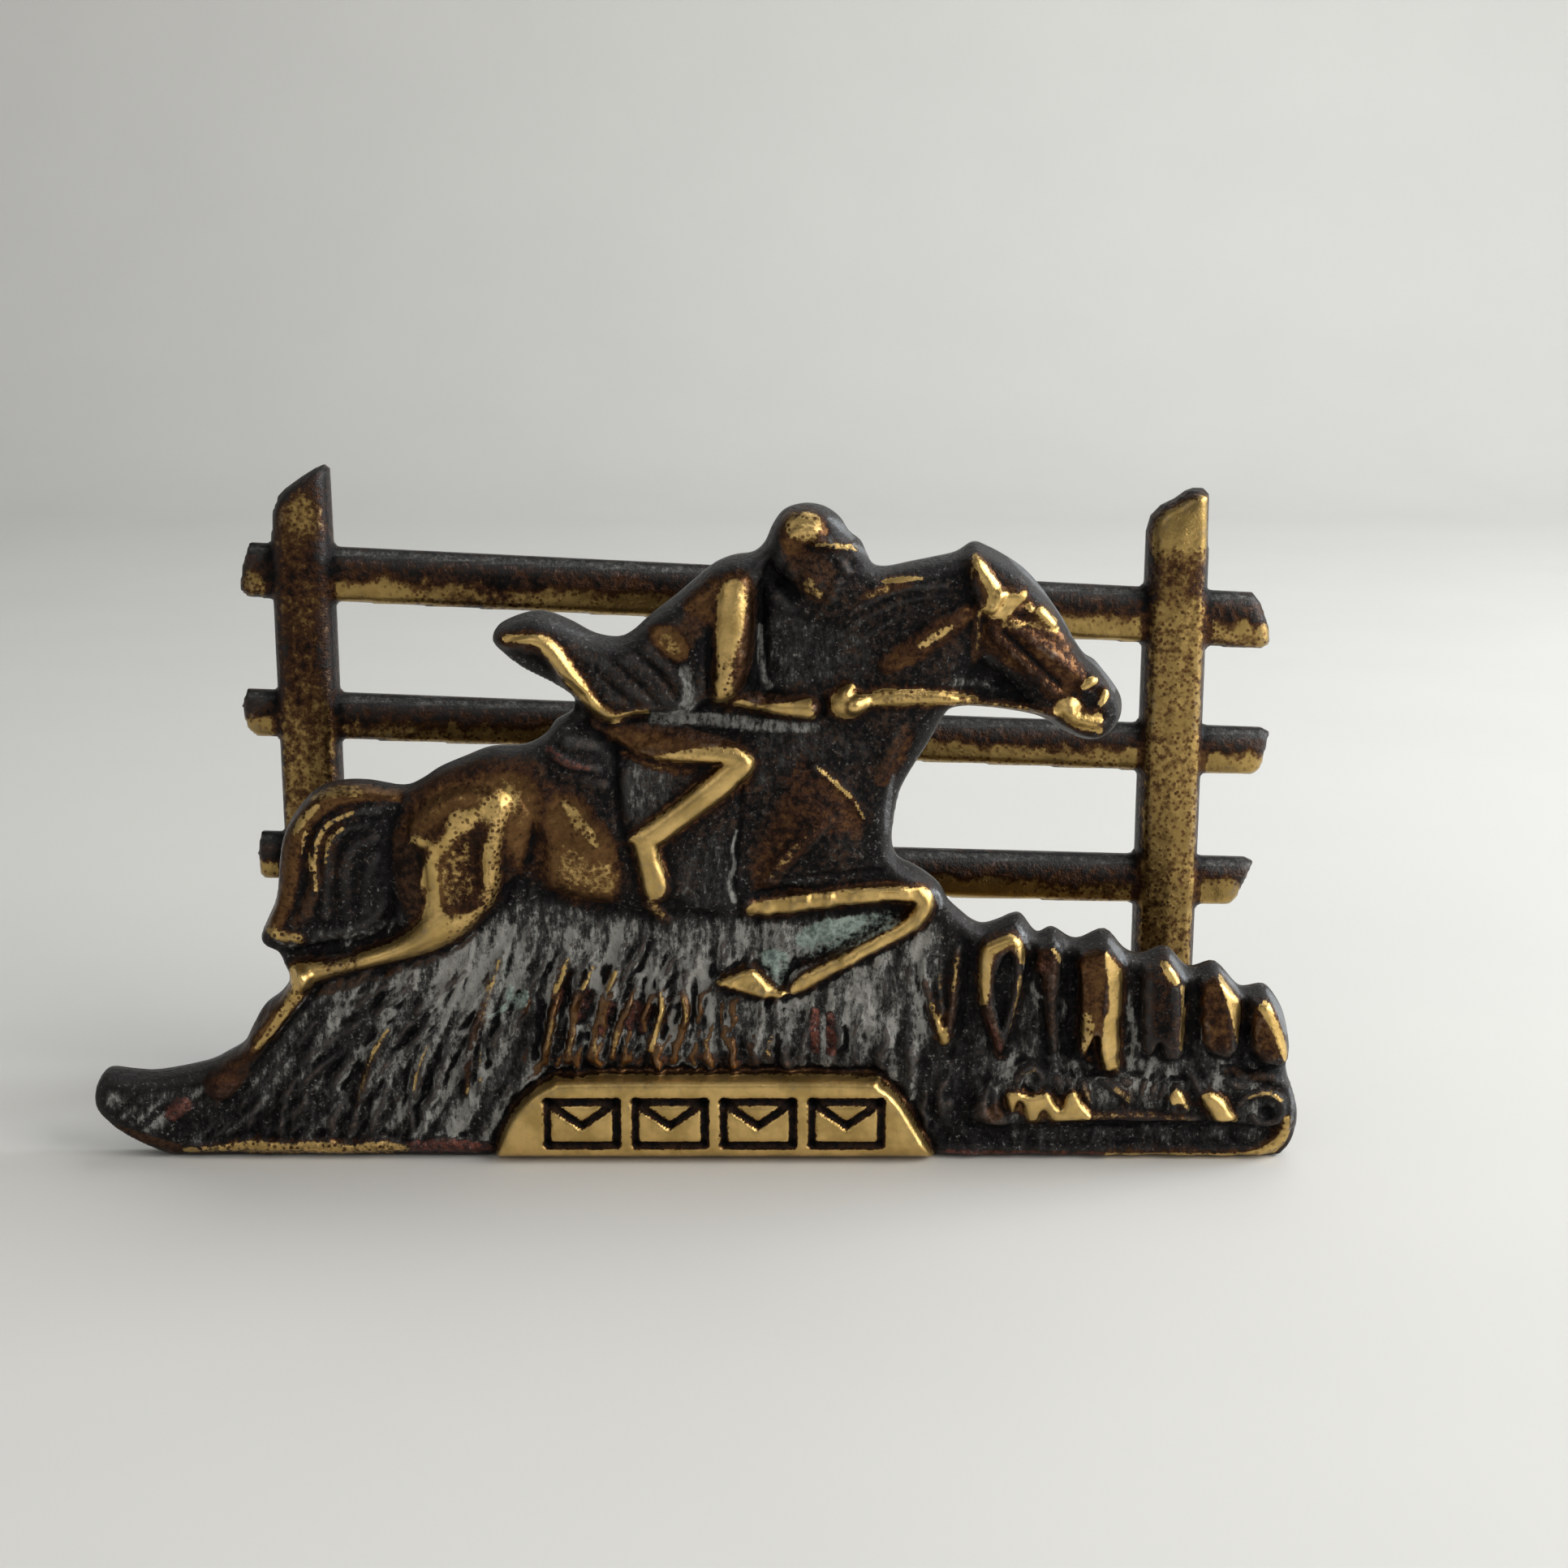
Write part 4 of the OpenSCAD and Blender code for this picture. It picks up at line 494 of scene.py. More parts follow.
def add_plates(height):
    for points, lift, rounding in PLATES:
        outline = drawn_loop(points, PLATE_LIFT)
        win = panel.window(outline, 1)
        height[win] += lift * dome(depth_inside(panel.x[win], panel.z[win], outline), rounding)


def add_bands(height, groups, flat=2):
    """Raised bands, round with a flat of 2 and flatter with more."""
    for group in groups:
        rise = np.zeros(height.shape)
        for points in group:
            middle = points[len(points) // 2]
            i = int(np.clip((middle[1] - panel.z0) / panel.step, 0, height.shape[0] - 1))
            j = int(np.clip((middle[0] - panel.x0) / panel.step, 0, height.shape[1] - 1))
            path = place(curve(points, 4), np.clip(height[i, j], 0, 4) + middle[3])
            win = panel.window(path, path[:, 2].max() + 0.3)
            share, lift = along(panel.x[win], panel.z[win], path)
            rise[win] = np.maximum(rise[win], lift * np.sqrt(np.clip(1 - share ** flat, 0, 1)))
        height += rise


def add_grooves(height, rows, lift):
    for points in rows:
        path = place(curve(points, 4), lift)
        win = panel.window(path, path[:, 2].max() + 0.3)
        share, deep = along(panel.x[win], panel.z[win], path)
        height[win] -= deep * np.clip(1 - share ** 2, 0, 1)


def envelope_lines():
    """Straight paths of the engraved envelopes: four sides and a flap each."""
    lines = []
    w, h = ENVELOPE_W / 2, ENVELOPE_H / 2
    for k in range(ENVELOPE_COUNT):
        x = ENVELOPE_MIDDLE[0] + (k - (ENVELOPE_COUNT - 1) / 2) * ENVELOPE_PITCH
        z = ENVELOPE_MIDDLE[1]
        corners = [(x - w, z - h), (x + w, z - h), (x + w, z + h), (x - w, z + h), (x - w, z - h)]
        flap = [(x - w, z + h), (x, z - 0.1 * h), (x + w, z + h)]
        for path in (corners, flap):
            lines += zip(path[:-1], path[1:])
    return [np.array([(*p, ENVELOPE_LINE, 1.0) for p in line]) for line in lines]


def envelope_shares():
    """Window around each engraved line, and the distance from it as a share of its half width."""
    for path in envelope_lines():
        win = panel.window(path, 2.4)
        yield win, along(panel.x[win], panel.z[win], path)[0]


def blade(x, z, length, angle, half, lift, bend):
    """Stations of a blade of grass from its root to its tip."""
    points = [(x, z, half, 0.4 * lift)]
    for turn, part, wide, high in ((bend, 0.3, 1.0, 1.0), (0, 0.33, 0.85, 0.9), (-bend, 0.37, 0.25, 0.3)):
        a = math.radians(angle + turn)
        x += part * length * math.cos(a)
        z += part * length * math.sin(a)
        points.append((x, z, half * wide, lift * high))
    return np.array(points)


def grass_blades():
    """Main blades in rows that sway by a rule, then finer ones at random."""
    blades = []
    for r, (z, first, last, lean, end) in enumerate(BLADE_ROWS):
        for i in range(int((last - first) / BLADE_PITCH) + 1):
            step = i * BLADE_PITCH
            sway = math.sin(math.radians(i * 137 + r * 71))
            length = BLADE_LENGTH * (0.9 - 0.1 * sway)
            angle = lean + (end - lean) * step / (last - first) + 7 * sway
            blades.append(blade(first + step + sway, z - sway, length, angle, BLADE_HALF, BLADE_LIFT, 8))
    for x0, x1, z0, z1, count, lean, spread, longest, widest, tallest in GRASS:
        for _ in range(count):
            x, z = RNG.uniform(x0, x1), RNG.uniform(z0, z1)
            blades.append(blade(x, z, longest * RNG.uniform(0.45, 1.0), lean + RNG.normal(0, spread),
                                widest * RNG.uniform(0.55, 1.0), tallest * RNG.uniform(0.3, 1.0), 14))
    return blades


def ground_field():
    """Bank with lumps, blades of grass, and the rough ground of the hedge."""
    bank = 0.75 * dome(edge, 5)
    bank += 0.18 * panel.noise(3.2) + 0.1 * panel.noise(1.3, 1.6)
    blades = np.zeros(bank.shape)
    waver = 0.7 * panel.noise(2.6) + 0.4 * panel.noise(1.1)
    vigour = np.clip(1 + 0.3 * panel.noise(2.2), 0.5, 1.4)
    for path in grass_blades():
        win = panel.window(path, 1.6)
        share, rise = along(panel.x[win] + waver[win], panel.z[win] + 0.5 * waver[win], path)
        blades[win] = np.maximum(blades[win], rise * vigour[win] * np.clip(1 - share, 0, 1))
    blades += 0.3 * panel.noise(0.95, 5.0, streaks) + 0.22 * panel.noise(0.6, 6.0, streaks)
    ground = bank + blades * smooth(1.5, 3.0, panel.z) * smooth(40, 34, panel.x + 0.15 * panel.z)
    lumps = 0.22 * panel.noise(1.6) + 0.2 * panel.noise(0.8)
    stems = 0.3 * panel.noise(0.9, 6.0) * smooth(11, 14, panel.z)
    return ground + smooth(34, 38, panel.x) * (lumps + stems)


def add_pickets(height):
    """Pickets with two facets each, and ragged edges."""
    rough = 0.22 * panel.noise(1.3)
    for points, ridge, top, left, right in PICKETS:
        outline = place(np.array(points, float), 0.5 * (left + right))
        win = panel.window(outline, 2)
        x, z = panel.x[win], panel.z[win]
        d = depth_inside(x, z, outline) + rough[win]
        line = place(np.array(ridge, float), top)
        middle = np.interp(z, line[::-1, 1], line[::-1, 0])
        lo, hi = outline[:, 0].min(), outline[:, 0].max()
        fall = np.where(x < middle, (middle - x) / (middle - lo).clip(0.3) * (top - left),
                        (x - middle) / (hi - middle).clip(0.3) * (top - right))
        face = (top - fall) * smooth(-0.1, 0.5, d)
        height[win] = np.where(d > -0.3, soft_max(height[win], face, 0.15), height[win])


def add_leaf(height):
    """Leaf at the hedge's end, with a sunk middle."""
    outer, inner, top, sunk = LEAF
    outline = drawn_loop(outer, top)
    win = panel.window(outline, 1)
    x, z = panel.x[win], panel.z[win]
    d = depth_inside(x, z, outline)
    hole = depth_inside(x, z, drawn_loop(inner, top - sunk)) / 0.6
    face = top * dome(d, 0.9) - sunk * smooth(0, 1, hole)
    height[win] = np.maximum(height[win], np.where(d > 0, face, ABSENT))


def add_plaque(height):
    """Plaque with its row of envelopes, and the groove around it."""
    d = depth_inside(panel.x, panel.z, place(curve(PLAQUE, 4), PLAQUE_LIFT))
    face = PLAQUE_EDGE + (PLAQUE_LIFT - PLAQUE_EDGE) * dome(d, 1.1)
    height[:] = np.where(d > 0, face, height - 0.5 * smooth(-1.6, -0.2, d))
    for win, share in envelope_shares():
        height[win] -= ENVELOPE_DEPTH * smooth(1.0, 0.55, share)


def round_edges(height):
    """Steep roofs over the pickets, rounded edges elsewhere."""
    hedge = smooth(34, 37, panel.x) * smooth(11, 14, panel.z)
    roll = np.where(edge < RIM_WIDTH, RIM + RIM_RISE * dome(edge, RIM_WIDTH), 9)
    roof = RIM + ROOF_SLOPE * edge
    return np.minimum(height, roll * (1 - hedge) + roof * hedge)


def build_relief():
    masses = np.full(panel.x.shape, ABSENT)
    ground = ground_field()
    for points, lift, rounding in MASSES.values():
        masses = soft_max(masses, mass_field(points, lift, rounding), 0.5)
    height = soft_max(ground, masses, 0.35)
    height -= 1.5 * smooth(0, 1.4, depth_inside(panel.x, panel.z, drawn_loop(COAT_HOLLOW, HOLLOW_LIFT)))
    add_swellings(height, SWELLINGS)
    add_plates(height)
    add_bands(height, BANDS)
    add_bands(height, LIMBS, 3)
    add_grooves(height, GROOVES, GROOVE_LIFT)
    add_swellings(height, FACE_SWELLINGS)
    add_bands(height, FACE_BANDS)
    add_grooves(height, FACE_GROOVES, FACE_LIFT)
    add_pickets(height)
    add_leaf(height)
    add_plaque(height)
    return np.minimum(panel.blur(round_edges(height), 0.2), MOST_LIFT)


height = build_relief()


# Tone of the backs, which no stroke reaches
BACK_TONE = {"brown": 0.62, "tarnish": 0.2, "dust": 0.12}


def cast_sheet(name, grid, depth, height, front, back, layers, rim, holes=False):
    """A closed mesh from a field of heights, cut along the line where depth is zero."""
    inside = depth > 0
    cell = inside[:-1, :-1] | inside[1:, :-1] | inside[:-1, 1:] | inside[1:, 1:]
    used = np.zeros(inside.shape, bool)
    for a in (0, 1):
        for b in (0, 1):
            used[a:a + cell.shape[0], b:b + cell.shape[1]] |= cell

    # Front: points just outside the line are drawn in to it
    gz, gx = np.gradient(depth, grid.step)
    length = np.maximum(np.hypot(gx, gz), 1e-6)
    shift = np.where(inside, 0, -depth)
    x = grid.x + shift * gx / length
    z = np.maximum(grid.z + shift * gz / length, 0)
    h = np.where(inside, height, rim)
    number = np.full(inside.shape, -1)
    number[used] = np.arange(used.sum())
    verts = np.stack([x[used], front - h[used], z[used]], 1)
    j, i = np.nonzero(cell)
    quads = np.stack([number[j, i], number[j, i + 1], number[j + 1, i + 1], number[j + 1, i]], 1)

    # Sides: from each border edge straight back
    edges = np.concatenate([quads[:, [k, (k + 1) % 4]] for k in range(4)])
    forward = {tuple(e) for e in edges.tolist()}
    border = {a: b for a, b in forward if (b, a) not in forward}
    ring_start = len(verts)
    ring = {a: ring_start + k for k, a in enumerate(border)}
    ring_verts = verts[list(border)].copy()
    ring_verts[:, 1] = back
    faces = quads.tolist()
    faces += [[b, a, ring[a], ring[b]] for a, b in border.items()]

    # Back: one face, or a copy of the front's cells where the sheet has holes
    rest_verts = np.zeros((0, 3))
    if holes:
        behind = np.arange(len(verts)) + ring_start + len(border)
        rest_verts = verts.copy()
        rest_verts[:, 1] = back
        behind[list(ring)] = list(ring.values())
        faces += behind[quads[:, ::-1]].tolist()
    else:
        start, following = next(iter(border.items()))
        chain = [start]
        while following != start:
            chain.append(following)
            following = border[following]
        faces.append([ring[a] for a in reversed(chain)])

    mesh = bpy.data.meshes.new(name)
    mesh.from_pydata((np.concatenate([verts, ring_verts, rest_verts]) * MM).tolist(), [], faces)
    for key, layer in layers.items():
        behind_tone = np.full(len(border) + len(rest_verts), BACK_TONE.get(key, 0.0))
        values = np.concatenate([layer[used], behind_tone]).astype(np.float32)
        mesh.attributes.new(key, "FLOAT", "POINT").data.foreach_set("value", values)
    mesh.update()
    mesh.polygons.foreach_set("use_smooth", np.arange(len(mesh.polygons)) < len(quads) + len(border))
    return show(name, mesh)


# Wear and patina of the panel, with painted shade in the hollows and painted highlights on edges, drawn as
# it looks from the camera
seen_x = EYE[0] + (panel.x - EYE[0]) / (1 - height / EYE_GAP)
seen_z = EYE[1] + (panel.z - EYE[1]) / (1 - height / EYE_GAP)
# deep: black patina and painted shade in the hollows; ridge: rubbed edges, and painted highlights above 1
LAYERS = ("gold", "brown", "copper", "dust", "green", "deep", "ridge", "tarnish")
layers = {key: np.zeros(height.shape) for key in LAYERS}
GOLD_SPREAD = 1.12


def stroke(layer, strength, points, soft=0.8):
    """Paint along a path of (x, z, half width)."""
    path = curve(np.array([(*p, 0) for p in points], float), 4)
    path[:, 2] *= GOLD_SPREAD if layer == "gold" else 1.0
    win = panel.window(path, path[:, 2].max() + 3)
    share, _ = along(seen_x[win], seen_z[win], path)
    cover = smooth(1 + soft / 2, 1 - soft / 2, share)
    layers[layer][win] = np.maximum(layers[layer][win], strength * cover)


def patch(layer, strength, points, soft=1.2):
    """Paint inside a closed outline, or with a negative strength thin the paint there."""
    outline = curve(points, 3, True)
    win = panel.window(outline, soft / 2 + 1)
    cover = smooth(-soft / 2, soft / 2, depth_inside(seen_x[win], seen_z[win], outline))
    if strength < 0:
        layers[layer][win] *= 1 + strength * cover
    else:
        layers[layer][win] = np.maximum(layers[layer][win], strength * cover)


# Strokes: layer, strength, stations of (x, z, half width), and softness where it isn't the usual one
STROKES = [
    # Tail
    ("brown", 0.9, [(-40, 51.3, 1.1), (-45, 51.8, 1.5), (-49.4, 50.4, 1.6), (-53, 47, 1.6),
        (-54.6, 42.5, 1.6), (-55.3, 38, 1.6), (-57.4, 33.2, 1.5)]),
    ("gold", 0.5, [(-51, 51.2, 0.8), (-48, 51.9, 1.0), (-45.2, 51.7, 0.8)]),
    ("gold", 0.66, [(-50.6, 49.7, 0.4), (-52.6, 47.9, 0.6), (-53.8, 46, 0.4)]),
    ("gold", 0.65, [(-52.2, 46, 0.5), (-52.5, 43.5, 0.6), (-52, 41, 0.4)]),
    ("gold", 0.6, [(-46, 48.8, 0.3), (-49, 47.4, 0.35), (-50.8, 45, 0.35), (-51.3, 42, 0.3),
        (-51.3, 38, 0.3)]),
    ("gold", 0.6, [(-47.4, 46.6, 0.3), (-49.2, 45, 0.35), (-49.9, 42, 0.3)]),
    ("gold", 0.58, [(-57.4, 32.3, 0.9), (-55.8, 31.4, 0.7)]),
    ("gold", 0.6, [(-54.4, 31.4, 0.8), (-53.7, 30.8, 0.6)]),
    ("brown", 0.7, [(-51, 44, 1.2), (-51.6, 39, 1.2), (-53.6, 34, 1.2)]),
    # Hind leg
    ("gold", 0.6, [(-26.4, 48.6, 1.4), (-27.2, 44, 1.2), (-27.4, 40, 1.1), (-28.2, 36.6, 1.3)], 1.2),
    ("gold", 0.8, [(-28.2, 44.6, 0.3), (-28.5, 42, 0.35), (-28.4, 39, 0.3)], 1.0),
    # Black patina and painted shade along the crease beside the hind leg
    ("deep", 0.7, [(-29.9, 46, 0.4), (-29.3, 42, 0.6), (-29.4, 37, 0.5)], 0.8),
    ("gold", 0.66, [(-54.2, 24.4, 1.0), (-56.2, 21.4, 0.7), (-58.4, 18.2, 0.5), (-60.3, 15.8, 0.4)]),
    ("tarnish", 0.5, [(-54, 25.4, 1.7), (-57, 20.6, 1.4), (-60.6, 15.8, 1.1)], 1.0),
    ("tarnish", 0.24, [(-60.6, 15.8, 1.2), (-63.6, 12.6, 1.4), (-66, 10, 1.8)], 1.4),
    ("tarnish", 0.45, [(-40, 51.3, 1.1), (-45, 51.8, 1.6), (-49.4, 50.6, 1.7), (-53, 47, 1.6),
        (-54.6, 42.5, 1.4), (-55.3, 38, 1.4), (-57.4, 33, 1.4)], 1.2),
    ("brown", 1.0, [(-47, 28, 1.6), (-54.6, 26, 2.2), (-57.4, 21, 1.8), (-61, 15.6, 1.8),
        (-65.8, 10.4, 2.4)]),
    ("copper", 0.5, [(-64.4, 11.4, 1.4), (-66.4, 9.6, 1.4)]),
    ("copper", 0.8, [(-72.4, 6.4, 1.3), (-71, 7.6, 1.3)]),
    ("brown", 0.8, [(-40, 45, 1.6), (-39, 40, 1.8), (-38.6, 36, 1.6)]),
    # Body
    ("gold", 0.6, [(-17.6, 50, 0.6), (-15, 46.6, 0.8), (-13.8, 44.6, 0.6)]),
    # Rider
    ("gold", 1.0, [(-25, 72.3, 0.45), (-22, 72.2, 0.55), (-20, 71.7, 0.9), (-18.2, 69.6, 1.0),
        (-16.2, 66.7, 0.9), (-14.1, 63.8, 0.75), (-12.4, 62, 0.7), (-10.8, 61.5, 0.55), (-8.4, 62.2, 0.45),
        (-6.6, 62.4, 0.35)]),
    ("brown", 1.0, [(-25, 72.2, 1.0), (-20, 71.4, 1.5), (-16, 66, 1.4), (-12.6, 61.4, 1.4), (-11, 59, 1.4)]),
    ("brown", 1.0, [(5.4, 79.2, 2.4), (4.8, 74, 2.8), (4.4, 68, 2.4), (3.9, 64.6, 2.0)]),
    ("brown", 1.0, [(4, 64.4, 2.0), (9, 63.6, 1.6), (15, 63, 1.9)]),
    ("gold", 1.0, [(19.8, 65.4, 0.5), (20.4, 65.8, 0.4)]), ("brown", 1.0, [(18, 63.8, 2.0), (20, 64, 2.7)]),
    ("gold", 0.75, [(21.5, 63.9, 1.0), (24, 64.2, 0.9), (27, 64.2, 0.95), (31, 64.2, 0.8), (34, 64, 0.6)]),
    ("gold", 0.8, [(20.8, 64.8, 0.3), (23, 65.1, 0.3), (25, 65.5, 0.3), (29, 65.3, 0.3), (33, 65, 0.25),
        (37, 64.4, 0.2)]),
    ("brown", 1.0, [(22, 64, 1.4), (30, 64.4, 1.4), (38, 63.4, 1.0), (47, 62.2, 0.9)]),
    ("gold", 0.45, [(35, 63.8, 0.5), (40, 63.3, 0.4), (46, 62.4, 0.4)]),
    ("brown", 1.0, [(-11, 59.4, 1.6), (-6, 58.4, 2.6), (0, 57.4, 2.6), (5, 56.4, 2.0)]),
    ("gold", 1.0, [(6, 55, 1.9), (3, 52.4, 1.9), (0, 50, 1.8), (-3.5, 47.2, 1.8), (-6.4, 45.2, 1.7)]),
    ("brown", 1.0, [(6, 54.6, 2.3), (0, 49.8, 2.1), (-6.4, 45, 2.2), (-6.6, 41, 2.3), (-5.8, 38, 2.3)]),
    ("brown", 0.9, [(-6.7, 36.4, 1.0), (-4.4, 33.8, 0.9)]),
    ("gold", 0.45, [(-6.4, 36.2, 0.7), (-5, 34.6, 0.6)]),
    ("copper", 0.62, [(-19.6, 57.4, 0.6), (-18, 56, 0.7), (-16, 55.1, 0.6), (-14.4, 54.8, 0.3)]),
    ("gold", 0.8, [(13.4, 86.9, 1.6), (14.6, 87, 1.8)], 1.3),
    ("gold", 0.6, [(15.8, 84.6, 0.35), (18, 84.5, 0.4), (20.8, 84.2, 0.45)]),
    ("brown", 0.7, [(12.6, 85.4, 1.6), (15, 81.4, 3.0), (16.6, 78.4, 2.0)]),
    ("gold", 0.48, [(14.8, 79.4, 0.9), (16, 78.2, 0.7)]),
    ("brown", 0.9, [(-5.4, 73, 1.2), (-2.6, 71, 1.6), (0.4, 75.6, 1.6)]),
    ("gold", 0.42, [(-4, 72, 1.0), (-2.6, 70.6, 0.7)]),
    # Mane, neck and head
    ("gold", 0.7, [(24.6, 79.8, 0.3), (27, 80.1, 0.4), (29.5, 80.3, 0.3)]),
    ("brown", 0.9, [(22, 77.8, 0.5), (25, 78.9, 0.6), (28, 79.4, 0.4)]),
    ("gold", 0.4, [(22.6, 78, 0.4), (25, 78.8, 0.4)]),
    ("brown", 1.0, [(25, 68.8, 1.4), (28.5, 70.8, 1.8), (32, 73, 1.8), (35.5, 75.3, 1.4)]),
    ("copper", 0.3, [(25, 68.8, 1.0), (28.5, 70.8, 1.4), (32, 73, 1.4), (35.5, 75.3, 1.0)]),
    ("gold", 0.62, [(29.4, 71.2, 0.4), (31, 72.3, 0.6), (33.4, 73.8, 0.4)]),
    ("gold", 1.0, [(43.4, 76.6, 0.4), (43.8, 76.2, 0.4)]),
    ("gold", 1.0, [(45.1, 75.8, 0.6), (46.6, 74.5, 0.6)]),
    ("gold", 0.45, [(40.5, 74.3, 0.7), (44.5, 74, 0.6), (47, 73.5, 0.5)]),
    ("brown", 0.9, [(36.9, 76.6, 0.7), (36.7, 72, 0.7), (36.8, 68.6, 0.7)]),
    ("gold", 0.45, [(37, 76, 0.3), (36.8, 71, 0.3)]),
    ("gold", 1.0, [(51, 65.8, 0.4), (51.9, 66.6, 0.6), (52.4, 66.7, 0.4)]),
    ("gold", 0.95, [(53.3, 63.6, 0.4), (53.8, 64.7, 0.45), (53.9, 65.2, 0.3)]),
    ("gold", 1.0, [(47.8, 62.7, 0.7), (49, 63.1, 1.2), (50, 63.2, 0.8)]),
    ("gold", 0.85, [(49.3, 61.6, 0.7), (51, 61.3, 0.8), (52.6, 61.2, 0.7)]),
    ("gold", 0.7, [(51.8, 60.4, 0.4), (53.3, 60, 0.4)]),
    # Foreleg and shoulder
    ("gold", 1.0, [(7.6, 35, 1.1), (11, 35.5, 1.2), (16, 36.2, 1.3), (21, 36.9, 1.2), (26, 37.4, 1.1),
        (30.3, 37.2, 1.1)]),
    ("gold", 1.0, [(30.5, 36.6, 1.0), (30, 34.5, 1.3), (28, 32.4, 1.2), (24, 30, 1.2), (19.5, 27.6, 1.1),
        (16, 25.6, 1.3), (14, 24.2, 1.3), (13.2, 23.2, 0.7)]),
    ("gold", 0.8, [(15.9, 55, 0.22), (18, 53.2, 0.28), (20.3, 51, 0.25)]),
    ("gold", 0.6, [(21, 50.2, 0.22), (22.2, 48, 0.25)]),
    ("brown", 0.7, [(24.4, 53.4, 1.3), (26.4, 57, 1.3), (27.6, 60, 0.9)], 1.0),
    ("brown", 0.8, [(17, 53, 1.4), (20, 50, 1.4), (21, 46, 1.2)], 1.2),
    ("brown", 0.9, [(17, 47.8, 0.9), (14, 44.5, 1.2), (10.5, 41, 1.2), (9.3, 38.5, 1.1)]),
    ("copper", 0.45, [(16.6, 47.4, 0.8), (14, 44.5, 1.0), (10.5, 41, 0.9)]),
    ("gold", 0.4, [(16, 47, 0.5), (13, 43.8, 0.6), (10, 40.4, 0.6)]),
    # Rim along the foot
    ("gold", 0.6, [(-71, 1.0, 0.4), (-66, 1.2, 0.5), (-62, 1.5, 0.9), (-57, 1.2, 0.8), (-52, 1.3, 1.0),
        (-48, 1.1, 0.7), (-44, 1.4, 1.0), (-40.6, 1.3, 0.6)], 0.9),
    ("copper", 0.7, [(-41, 1.4, 0.9), (-36, 1.7, 1.2), (-29, 1.3, 0.8)], 1.0),
    ("brown", 0.8, [(-80, 4, 0.7), (-72, 1, 0.8)]),
    ("copper", 0.7, [(33.5, 0.6, 0.45), (45, 0.4, 0.4), (56, 0.3, 0.4)]),
    ("brown", 0.9, [(40, 0.3, 0.7), (60, 0, 0.8), (76, 0.2, 0.9)]),
    ("gold", 0.8, [(56, 0, 0.5), (66, -0.1, 0.6), (75, 0, 0.6), (78.5, 1.1, 0.7), (80.2, 3, 0.6),
        (80.7, 5.5, 0.5)]),
    # Reeds, leaf and pickets
    ("brown", 0.8, [(34.9, 29, 0.5), (34.5, 24, 0.6), (34.1, 19, 0.6)]),
    ("brown", 0.8, [(30.6, 25, 0.5), (32.4, 19.4, 0.7)]),
    ("gold", 0.6, [(34.9, 28.6, 0.3), (34.5, 24, 0.3)]),
    ("gold", 0.85, [(32.9, 19.6, 0.6), (33.3, 17, 0.7)]),
    ("gold", 0.5, [(31.6, 22, 0.5), (32.6, 19.6, 0.6)]), ("gold", 0.4, [(32.6, 26, 0.4), (32.8, 22, 0.4)]),
    ("gold", 0.95, [(38.9, 29.4, 0.8), (40.5, 30.5, 0.8), (42.4, 31.2, 0.6), (43.4, 29.8, 0.5),
        (43.8, 28, 0.35)]),
    ("gold", 0.9, [(38.9, 29, 0.8), (38.6, 26, 0.75), (38.6, 22.5, 0.6)]),
    ("gold", 0.6, [(43.5, 26, 0.3), (43, 21, 0.3), (42.2, 17.4, 0.3)]),
    ("brown", 0.9, [(38.6, 23, 0.8), (39.6, 19, 0.9), (41.2, 15, 0.9)]),
    ("copper", 0.6, [(39, 20, 0.5), (40, 17.6, 0.7), (41.2, 15.4, 0.6)]),
    ("gold", 0.95, [(47.9, 29.8, 0.25), (48.9, 28.2, 0.3)]),
    ("brown", 0.7, [(47.6, 26, 0.9), (47.8, 18, 0.8)]),
    ("gold", 1.0, [(57.2, 26.4, 0.35), (57.1, 20, 0.35), (57.3, 13, 0.35)]),
    ("gold", 1.0, [(63, 27.6, 0.5), (63.9, 26.2, 0.6), (64.6, 25.2, 0.5)]),
    ("gold", 0.75, [(65.5, 24.4, 0.35), (65.8, 22, 0.3), (65.7, 15.6, 0.3)]),
    ("brown", 0.8, [(69, 24, 1.4), (70.5, 20, 1.6), (71.5, 16, 1.3)]),
    ("brown", 0.8, [(76, 19, 1.4), (77.5, 16, 1.4)]),
    ("brown", 0.4, [(62, 25.6, 1.8), (62.6, 18, 1.8)]),
    # Stones
    ("brown", 0.9, [(40, 6, 1.4), (42, 7.6, 1.0)]),
    ("brown", 0.8, [(53, 5.8, 0.7), (60, 6.1, 0.7), (66, 5.6, 0.7)]),
    ("gold", 0.4, [(54, 5.8, 0.5), (60, 6.1, 0.5), (67, 5.4, 0.4)]),
    ("gold", 0.5, [(57, 9.8, 0.4), (58.8, 8.2, 0.4)]),
    ("gold", 0.55, [(75.4, 8.6, 0.3), (77.8, 9.2, 0.35), (79.8, 8.2, 0.35)]),
    ("brown", 0.6, [(72, 12.6, 0.8), (78, 11.4, 0.8)]),
    ("gold", 0.4, [(52.4, 10.6, 0.3), (53.4, 8.2, 0.3)]),
    ("gold", 0.4, [(44, 12, 0.25), (45.8, 12.5, 0.25)]),
    # Grass
    ("gold", 0.72, [(-45.4, 13.4, 0.2), (-44.2, 15.8, 0.3), (-42.4, 18.5, 0.25)]),
    ("gold", 0.5, [(-47, 8, 0.2), (-45.6, 13, 0.25)]),
    ("gold", 0.6, [(-39.2, 9.6, 0.22), (-38.6, 12.6, 0.28), (-37.2, 16, 0.2)]),
    ("gold", 0.8, [(-32.1, 9.4, 0.35), (-31.8, 11.2, 0.35)]),
    ("gold", 0.62, [(-30.1, 11, 0.22), (-30, 15, 0.28), (-29.6, 19, 0.25), (-28.8, 22, 0.22),
        (-27, 28.2, 0.25)]),
    ("gold", 0.5, [(-31.2, 19.6, 0.25), (-29.4, 23, 0.3), (-27.2, 27.4, 0.25)]),
    ("tarnish", 0.26, [(-47, 7.6, 0.5), (-45.4, 13, 0.6), (-43.4, 17, 0.5)], 1.4),
